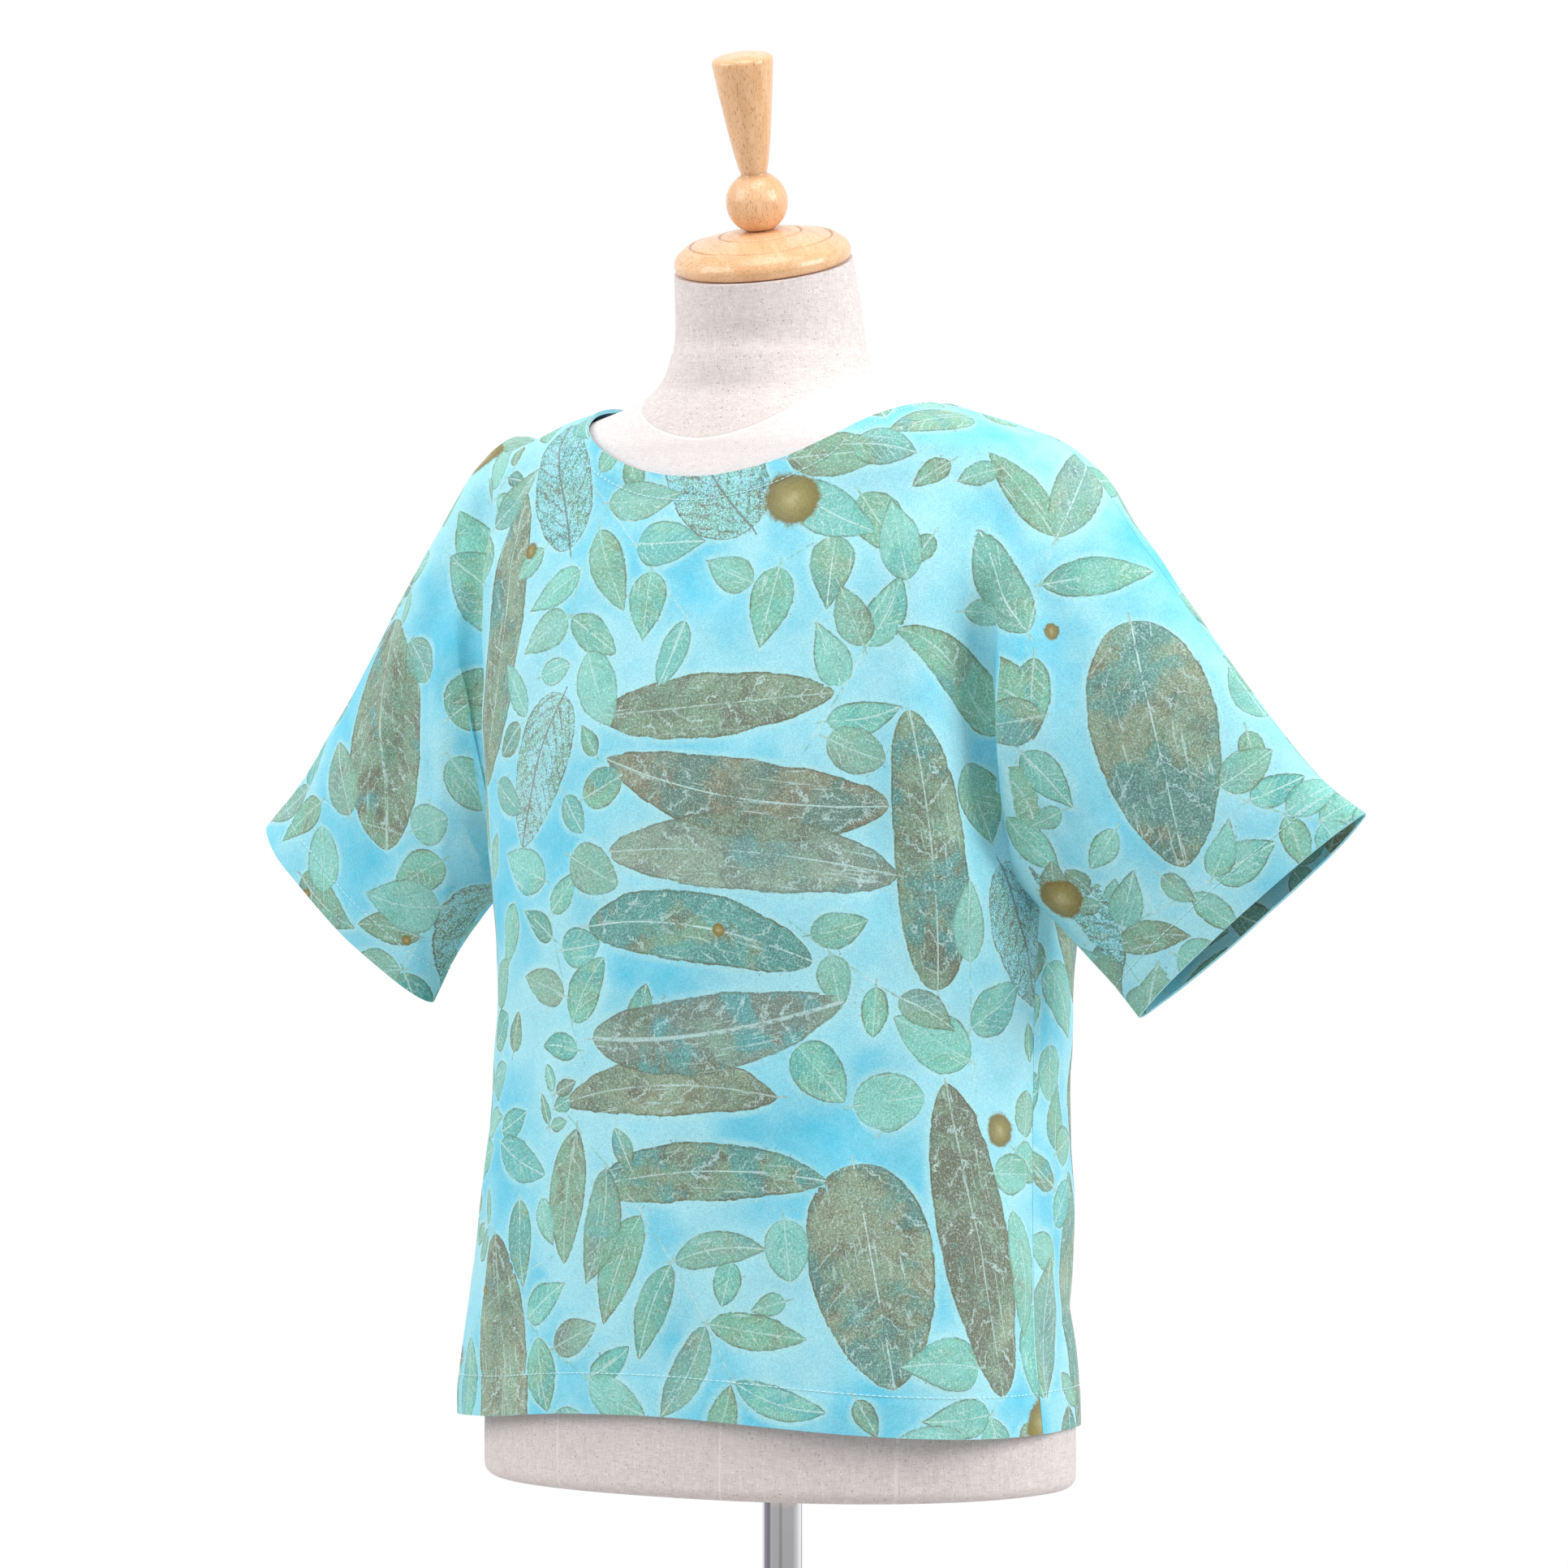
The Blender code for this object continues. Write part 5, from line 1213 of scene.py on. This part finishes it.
def addPanel(cloth, finish):
    # A closed thin shell: the outside, the inside a wall's thickness in, and a rim between them. The
    # cloth is thicker and stands out a little where it is turned under at the finished edges.
    facing = -1.0 if cloth["panel"] == "front" else 1.0
    apart = np.where(cloth["onSeam"], facing * 0.5 * blouse["seamGap"], 0.0)[:, None] * np.array([0, 1, 0])
    turned = 1.0 - smoothStep(*blouse["turnedEnd"], cloth["beyondStitch"])
    groove = np.exp(-((cloth["beyondStitch"] / blouse["grooveWidth"]) ** 2))
    pull = blouse["turnedLift"] * turned - blouse["grooveDepth"] * groove
    pull = pull * smoothStep(0.0, blouse["liftFade"], cloth["fromSeam"])
    outside = cloth["points"] + cloth["normals"] * pull[:, None] + apart
    turned = turned * smoothStep(0.0, blouse["turnedFade"], cloth["fromSeam"])
    wall = blouse["wall"] + blouse["turnedWall"] * turned
    inside = cloth["points"] - cloth["normals"] * wall[:, None] + apart
    faces = cloth["faces"]
    count = len(outside)
    edges = np.concatenate([faces[:, [k, (k + 1) % 4]] for k in range(4)])
    keys = edges[:, 0] * count + edges[:, 1]
    rim = edges[~np.isin(edges[:, 1] * count + edges[:, 0], keys)]
    rims = np.stack([rim[:, 1], rim[:, 0], rim[:, 0] + count, rim[:, 1] + count], axis=-1)
    quads = np.concatenate([faces, faces[:, ::-1] + count, rims])
    used = np.unique(quads)
    place = np.full(2 * count, -1)
    place[used] = np.arange(len(used))
    points = np.concatenate([outside, inside])[used]
    name = cloth["panel"] + "Cloth"
    made = addPiece(name, points, place[quads], finish, "printed_cotton", cloth["panel"] + "_panel", sharp=50.0)
    for field, values in cloth["corners"].items():
        bare = np.tile(bareCloth[field], (len(rims), 4, 1))
        addValues(made.data, field, np.concatenate([values, values[:, ::-1], bare]), "CORNER")
    for field, values in cloth["spread"].items():
        addValues(made.data, field, np.tile(values, 2)[used])
    threads = np.stack([cloth["weft"], cloth["warp"], np.zeros(count)], axis=-1)
    addValues(made.data, "weave", np.tile(threads, (2, 1))[used])
    return made


def readLine(at, run, values):
    # A line's points or directions at these lengths along it
    return np.stack([np.interp(at, run, column) for column in values.T], axis=-1)


def lineAt(points, normals, target):
    # The line over the grid's columns at this distance from its first row
    travelled = runAlong(points, 0)
    row = np.clip((travelled < target).sum(axis=0) - 1, 0, len(travelled) - 2)
    column = np.arange(points.shape[1])
    start, end = travelled[row, column], travelled[row + 1, column]
    share = ((target - start) / np.maximum(end - start, 1e-9))[:, None]
    spot = points[row, column] * (1.0 - share) + points[row + 1, column] * share
    normal = normals[row, column] * (1.0 - share) + normals[row + 1, column] * share
    return spot, unit(normal)


stitching = {
    "pitch": 0.0034,
    "length": 0.0025,
    "radius": 0.00029,
    "stand": 0.00012,
    "start": 0.0035,  # from a line's start to its first stitch, and from the last one to its end
    "end": 0.003,
    "stations": ((-0.5, 0.30), (-0.30, 0.95), (0.30, 0.95), (0.5, 0.30)),  # shares of length and radius
}


def addStitching(cloth, finish):
    # Dashes of thread: a spindle of six sides, laid end to end along each finished edge
    middles, headings, outwards = [], [], []
    for distance, seenFrom in cloth["edges"]:
        spots, outward = lineAt(seenFrom(cloth["grid"]), seenFrom(cloth["gridNormals"]), distance)
        run = runAlong(spots, 0)
        at = np.arange(stitching["start"], run[-1] - stitching["end"], stitching["pitch"])
        start, end = (readLine(at + shift * stitching["length"], run, spots) for shift in (-0.5, 0.5))
        middles.append(0.5 * (start + end))
        headings.append(unit(end - start))
        outwards.append(readLine(at, run, outward))
    middle, heading, outward = (np.concatenate(values) for values in (middles, headings, outwards))
    side = np.cross(outward, heading)
    shape = np.array([(share * stitching["length"], width * stitching["radius"] * math.cos(angle),
                       width * stitching["radius"] * math.sin(angle))
                      for share, width in stitching["stations"] for angle in turnsAround(6)])
    points = (middle + outward * stitching["stand"])[:, None] + (
        shape[None, :, 0, None] * heading[:, None] + shape[None, :, 1, None] * side[:, None]
        + shape[None, :, 2, None] * outward[:, None]
    )
    caps = np.array([[0, 1, 2, 3], [0, 3, 4, 5], [23, 22, 21, 20], [23, 20, 19, 18]])
    faces = np.concatenate([ringFaces(4, 6)[:, ::-1], caps])
    every = (faces[None] + 24 * np.arange(len(middle))[:, None, None]).reshape(-1, 4)
    name = cloth["panel"] + "Stitching"
    made = addPiece(name, points.reshape(-1, 3), every, finish, "printed_cotton", sharp=70.0)
    print(f"{len(middle)} stitches on the {cloth['panel']}")
    return made


def sewingThread():
    made, place = startMaterial("sewingThread", {"Sheen Weight": 0.2})
    twist = place.noise(1800.0, 2.0)
    color = twist.rise(0.3, 0.7).mix((0.54, 0.86, 0.92), (0.76, 0.95, 0.97))
    return finishMaterial(made, color, twist * 0.2 + 0.6, twist, 0.0002, 0.5)


def addBlouse():
    cotton, thread = printedCotton(), sewingThread()
    for panel in ("front", "back"):
        cloth = clothOf(panel)
        layout = Layout(cloth, printPlan[panel]["seed"])
        layout.fill(printPlan[panel])
        print(f"{panel}: {len(layout.leaves)} leaves, {len(layout.stems)} stems, cut",
              {name: round(value, 4) for name, value in cloth["cut"].items()})
        cloth["corners"], cloth["spread"] = leafFields(cloth, layout)
        made = addPanel(cloth, cotton)
        sewing = addStitching(cloth, thread)


def formRing(height):
    # One level section: a superellipse, with the lower edge rounded
    sides = dressForm["sides"]
    turn = turnsAround(sides)
    above = max(dressForm["edgeRadius"] - (height - dressForm["bottomZ"]), 0.0)
    inset = dressForm["edgeRadius"] - math.sqrt(dressForm["edgeRadius"] ** 2 - above**2)
    squeeze = 2.0 / float(formSize("power", height))
    cosine, sine = np.cos(turn), np.sin(turn)
    half = float(formSize("half", height)) - inset
    depth = np.where(sine < 0.0, formSize("front", height), formSize("back", height)) - inset
    x = half * np.sign(cosine) * np.abs(cosine) ** squeeze
    y = float(formSize("middle", height)) + depth * np.sign(sine) * np.abs(sine) ** squeeze
    return np.stack([x, y, np.full_like(x, height)], axis=-1), x / half


def neckFrame(rise):
    # The centre and the slope of the neck's axis at this height above the neck's base
    bend = min(rise / dressForm["neckBend"], 1.0)
    shift = 0.5 * rise**2 / dressForm["neckBend"]
    if rise >= dressForm["neckBend"]:
        shift = rise - 0.5 * dressForm["neckBend"]
    centre = np.array([dressForm["leanLeft"] * shift, float(formSize("middle", dressForm["neckBaseZ"]))
                       - dressForm["leanFront"] * shift, dressForm["neckBaseZ"] + rise])
    return centre, dressForm["leanLeft"] * bend, -dressForm["leanFront"] * bend


def neckRing(rise):
    # One round section of the neck, square to its axis
    turn = turnsAround(dressForm["sides"])
    radius = float(readTable(dressForm["neck"], "radius", rise))
    centre, slopeX, slopeY = neckFrame(rise)
    x, y = radius * np.cos(turn), radius * np.sin(turn)
    return centre + np.stack([x, y, -slopeX * x - slopeY * y], axis=-1), np.cos(turn)


def linenCover():
    made, place = startMaterial("linenCover", {"Sheen Weight": 0.15, "Specular IOR Level": 0.2})
    share = place.attribute("acrossShare")
    x, y, z = place.split()
    front = y.math("LESS_THAN", y, -0.012)
    seams = front * 0.0
    for half, places in ((front, (-0.36, 0.27, 0.78, -0.78)), (1.0 - front, (-0.5, 0.0, 0.5))):
        for at in places:
            seams = seams.most(((share - at).size() * 0.165).fall(0.0004, 0.0012) * half)
    seams = seams * z.fall(1.28, 1.33)
    aboveSeam = z - 1.372 - (y + 0.012) * 0.20 - x * x * 5.0
    neckLine = aboveSeam.size().fall(0.0003, 0.0011)
    warp = place.noise((1700.0, 1700.0, 170.0), 1.0)
    weft = place.noise((210.0, 210.0, 1700.0), 1.0)
    weave = (warp + weft) * 0.5
    slub = (place.noise((420.0, 420.0, 90.0), 2.0) + place.noise((100.0, 100.0, 420.0), 2.0)) * 0.5
    cloud = place.noise(9.0, 2.0)
    color = (weave * 0.65 + slub * 0.35).rise(0.36, 0.64).mix((0.665, 0.590, 0.575), (0.82, 0.750, 0.735))
    color = (cloud.rise(0.3, 0.7) * 0.25).mix(color, (0.80, 0.70, 0.66))
    dark = place.noise(880.0, 1.0).rise(0.67, 0.71)
    color = (dark * 0.55).mix(color, (0.26, 0.19, 0.14))
    pale = place.noise(610.0, 1.0).rise(0.68, 0.72)
    color = (pale * 0.6).mix(color, (0.97, 0.95, 0.93))
    color = (aboveSeam.fall(-0.0005, 0.0005) * z.rise(1.27, 1.30) * 0.40).mix(color, (0.90, 0.86, 0.87))
    seams = seams.most(neckLine)
    color = (seams * 0.40).mix(color, (0.92, 0.87, 0.85))
    height = weave * 0.5 - seams * 0.7 + slub * 0.2
    return finishMaterial(made, color, weave * 0.1 + 0.84, height, 0.0006, 0.6)


def addFormCover():
    # A loft through level sections of the body and tilted round ones of the neck
    bottom, base = dressForm["bottomZ"], dressForm["neckBaseZ"]
    edge = bottom + dressForm["edgeRadius"] * (1.0 - np.cos(np.radians(np.linspace(0.0, 90.0, 9))))
    trunk, shoulder, neck = dressForm["rings"]
    heights = [edge, np.linspace(edge[-1] + 0.004, 1.325, trunk), np.linspace(1.328, base - 0.001, shoulder)]
    rings = [formRing(height) for height in np.concatenate(heights)]
    rings += [neckRing(rise) for rise in np.linspace(0.002, dressForm["neckRise"], neck)]
    sides = dressForm["sides"]
    points = np.concatenate([ring for ring, share in rings])
    faces = ringFaces(len(rings), sides).tolist()
    faces.append(list(range(sides - 1, -1, -1)))
    faces.append([(len(rings) - 1) * sides + side for side in range(sides)])
    made = addPiece("formCover", points, faces, linenCover(), "linen_cover", "torso")
    addValues(made.data, "acrossShare", np.concatenate([share for ring, share in rings]))
    print("dress form covered")


turnedWood = {
    "capDiameter": 0.0985,
    "capHeight": 0.0200,
    "grooves": ((0.0227, 0.0172), (0.0394, 0.0133)),  # radius and height of each
    "grooveCut": ((-0.0016, 0.0012), (-0.0009, 0.0009), (-0.0003, -0.0002), (0.0003, -0.0002),
                  (0.0008, 0.0006), (0.0020, 0.0004)),
    "rim": ((0.0052, 0.0120), (0.0022, 0.0097), (0.0005, 0.0070), (0.0, 0.0048), (0.0004, 0.0024),
            (0.0014, 0.0008), (0.0030, 0.0)),  # inset and height
    "ball": 0.0344,
    "ballSink": 0.0020,
    "handleFoot": 0.0140,
    "handleHead": 0.0338,
    "handleLength": 0.0662,
    "gap": 0.0003,
    "sides": 128,
}


def roundedCorners(profile):
    # A finer profile: each corner is cut at a fifth of its two runs, twice over
    profile = np.array(profile, float)
    for _ in range(2):
        start, end = profile[:-1], profile[1:]
        near, far = start * 0.8 + end * 0.2, start * 0.2 + end * 0.8
        middle = np.stack([near, far], axis=1).reshape(-1, 2)
        profile = np.concatenate([profile[:1], middle[1:-1], profile[-1:]])
    return profile


def turnedPoints(profile, sides, centre, axis):
    # A profile of radius and height carried round an axis. Its ends are on the axis, and closed there.
    first = unit(np.cross([0.0, 1.0, 0.0], axis))
    second = np.cross(axis, first)
    turn = turnsAround(sides)
    circle = np.cos(turn)[:, None] * first + np.sin(turn)[:, None] * second
    inner = profile[1:-1]
    rings = centre + inner[:, 1, None, None] * axis + inner[:, 0, None, None] * circle[None]
    ends = [centre + profile[0, 1] * axis, centre + profile[-1, 1] * axis]
    points = np.concatenate([rings.reshape(-1, 3), ends])
    faces = ringFaces(len(inner), sides)[:, ::-1].tolist()
    top, low = len(points) - 2, len(points) - 1
    last = (len(inner) - 1) * sides
    side = np.arange(sides)
    faces += np.stack([side, (side + 1) % sides, np.full(sides, top)], axis=-1).tolist()
    faces += np.stack([last + (side + 1) % sides, last + side, np.full(sides, low)], axis=-1).tolist()
    return points, faces


def paintedGrooveShade(points, centre, axis, radii):
    # Painted shade: how near each point on top of the cap is to a turned groove, as a share that darkens the
    # wood there
    off = points - centre
    height = off @ axis
    radius = np.linalg.norm(off - height[:, None] * axis, axis=1)
    away = np.min([np.abs(radius - groove) for groove in radii], axis=0)
    return (1.0 - smoothStep(0.0001, 0.0011, away)) * (height > 0.006)


def varnishedWood(name, grainRun, turn):
    # Streaks and dark pores drawn out along the grain, under a clear coat, with painted shade in the turned
    # grooves and at the joint
    made, place = startMaterial(name, {"Coat Weight": 0.55, "Coat Roughness": 0.14})
    along = place.join("ShaderNodeMapping", {"vector_type": "POINT"}, {0: place, "Rotation": turn})

    def drawnOut(lengthwise, crosswise, *rest):
        return along.noise(tuple(lengthwise if run else crosswise for run in grainRun), *rest)

    streaks = drawnOut(34.0, 420.0, 4.0, 0.6, 0.6)
    figure = drawnOut(11.0, 88.0, 2.0, 0.5, 0.9)
    pores = drawnOut(260.0, 1700.0, 1.0)
    cut = place.attribute("cut")
    color = figure.rise(0.30, 0.70).mix((0.81, 0.46, 0.225), (0.92, 0.575, 0.325))
    color = (streaks.rise(0.35, 0.68) * 0.32).mix(color, (0.69, 0.36, 0.155))
    pore = pores.rise(0.60, 0.66)
    color = (pore * 0.60).mix(color, (0.38, 0.17, 0.06))
    # Painted shade, where the cut attribute marks a turned groove or the joint
    color = (cut * 0.55).mix(color, (0.42, 0.20, 0.08))
    return finishMaterial(made, color, streaks * 0.12 + 0.30, 1.0 - pore, 0.0002, 0.35)


def addTurnedWood():
    wood = turnedWood
    top, rim = wood["capHeight"], 0.5 * wood["capDiameter"]
    cap = [(0.0, top), (0.0118, top), (0.0138, top - 0.0003)]
    for groove, depth in wood["grooves"]:
        cap += [(groove + out, depth + up) for out, up in wood["grooveCut"]]
    cap += [(rim - inset, height) for inset, height in wood["rim"]] + [(0.0, 0.0)]
    ball, foot, head = 0.5 * wood["ball"], 0.5 * wood["handleFoot"], 0.5 * wood["handleHead"]
    centre = ball - wood["ballSink"]
    waist = math.degrees(math.acos(foot / ball))
    low = math.degrees(math.asin(-centre / ball))
    waistZ = centre + ball * math.sin(math.radians(waist))
    headZ = waistZ + wood["handleLength"]
    handle = [(0.0, headZ + 0.0012), (0.55 * head, headZ + 0.0009), (0.90 * head, headZ - 0.0006),
              (0.99 * head, headZ - 0.0022), (head, headZ - 0.0045)]
    for share in (0.80, 0.60, 0.40, 0.20, 0.08):
        handle.append((foot + (head - foot) * share**0.75, waistZ + wood["handleLength"] * share * 0.93))
    turns = np.radians(np.linspace(waist, low, 15))
    handle += [(ball * math.cos(turn), centre + ball * math.sin(turn)) for turn in turns] + [(0.0, 0.0)]
    base, slopeX, slopeY = neckFrame(dressForm["neckRise"])
    axis = unit(np.array([slopeX, slopeY, 1.0]))
    lean = (math.atan2(slopeY, 1.0), -math.atan2(slopeX, 1.0), 0.0)
    points, faces = turnedPoints(roundedCorners(cap), wood["sides"], base + axis * wood["gap"], axis)
    capWood = varnishedWood("varnishedCap", (1, 0, 0), (lean[0], lean[1], 0.6))
    made = addPiece("woodenCap", points, faces, capWood, "varnished_wood", "neck_cap")
    # Painted shade in the cap's turned grooves
    addValues(made.data, "cut", paintedGrooveShade(points, base, axis, [radius for radius, height in wood["grooves"]]))
    seat = base + axis * (wood["capHeight"] + 2.0 * wood["gap"])
    points, faces = turnedPoints(roundedCorners(handle), wood["sides"], seat, axis)
    handleWood = varnishedWood("varnishedHandle", (0, 0, 1), lean)
    made = addPiece("woodenHandle", points, faces, handleWood, "varnished_wood", "finial")
    # Painted shade at the joint between the ball and the handle
    joint = np.abs((points - seat) @ axis - waistZ)
    addValues(made.data, "cut", 0.8 * (1.0 - smoothStep(0.0002, 0.0022, joint)))
    print("wood turned")


metal = {"pole": 0.0220, "base": 0.3400, "thickness": 0.0100, "edge": 0.0040, "gap": 0.0003}


def chromedSteel(name, brushed, roughness, paintedReflection):
    # Brushed lines, and painted reflection: dark and bright bands that run along the metal, standing in for what
    # it reflects
    made, place = startMaterial(name, {"Metallic": 1.0})
    lines = place.noise(brushed, 3.0, 0.6)
    marks = place.noise(38.0, 4.0, 0.6)
    color = marks.rise(0.3, 0.7).mix((0.60, 0.60, 0.62), (0.70, 0.70, 0.72))
    # Painted reflection: a dark reflected band and a bright one, drawn out along the metal
    reflectionBand = place.noise((190.0, 190.0, 0.5), 1.0, 0.4).rise(0.43, 0.57)
    color = ((1.0 - reflectionBand) * paintedReflection).mix(color, (0.20, 0.17, 0.23))
    color = (reflectionBand * paintedReflection * 0.8).mix(color, (0.93, 0.93, 0.95))
    return finishMaterial(made, color, lines * 0.06 + marks * 0.05 + roughness, lines, 0.00005, 0.15)


def addStand():
    low = metal["thickness"] + metal["gap"]
    high = dressForm["bottomZ"] - metal["gap"]
    radius = 0.5 * metal["pole"]
    runs = np.linspace(high - 0.0004, low + 0.0004, 40)
    pole = [(0.0, high), (radius - 0.0004, high)] + [(radius, height) for height in runs]
    pole += [(radius - 0.0004, low), (0.0, low)]
    up = np.array([0.0, 0.0, 1.0])
    points, faces = turnedPoints(np.array(pole), 96, np.zeros(3), up)
    # The pole gets painted reflection bands at this strength, and the base plate gets none
    chrome = chromedSteel("chromedPole", (60.0, 60.0, 900.0), 0.03, 0.85)
    addPiece("chromedPole", points, faces, chrome, "chromed_steel", "pole", sharp=60.0)
    radius, edge, top = 0.5 * metal["base"], metal["edge"], metal["thickness"]
    plate = [(0.0, top)] + [(share * (radius - edge), top) for share in np.linspace(0.1, 1.0, 10)]
    turns = np.radians(np.linspace(82.0, 0.0, 9))
    plate += [(radius - edge + edge * math.cos(turn), top - edge + edge * math.sin(turn)) for turn in turns]
    plate += [(radius, 0.0010), (radius - 0.0004, 0.0003), (radius - 0.0010, 0.0), (0.0, 0.0)]
    points, faces = turnedPoints(np.array(plate), 160, np.zeros(3), up)
    chrome = chromedSteel("basePlate", (90.0, 90.0, 90.0), 0.20, 0.0)
    addPiece("basePlate", points, faces, chrome, "chromed_steel", "base_plate", sharp=50.0)
    print("stand set up")


addCamera()
addLight()
addFloor()
addFormCover()
addTurnedWood()
addStand()
addBlouse()
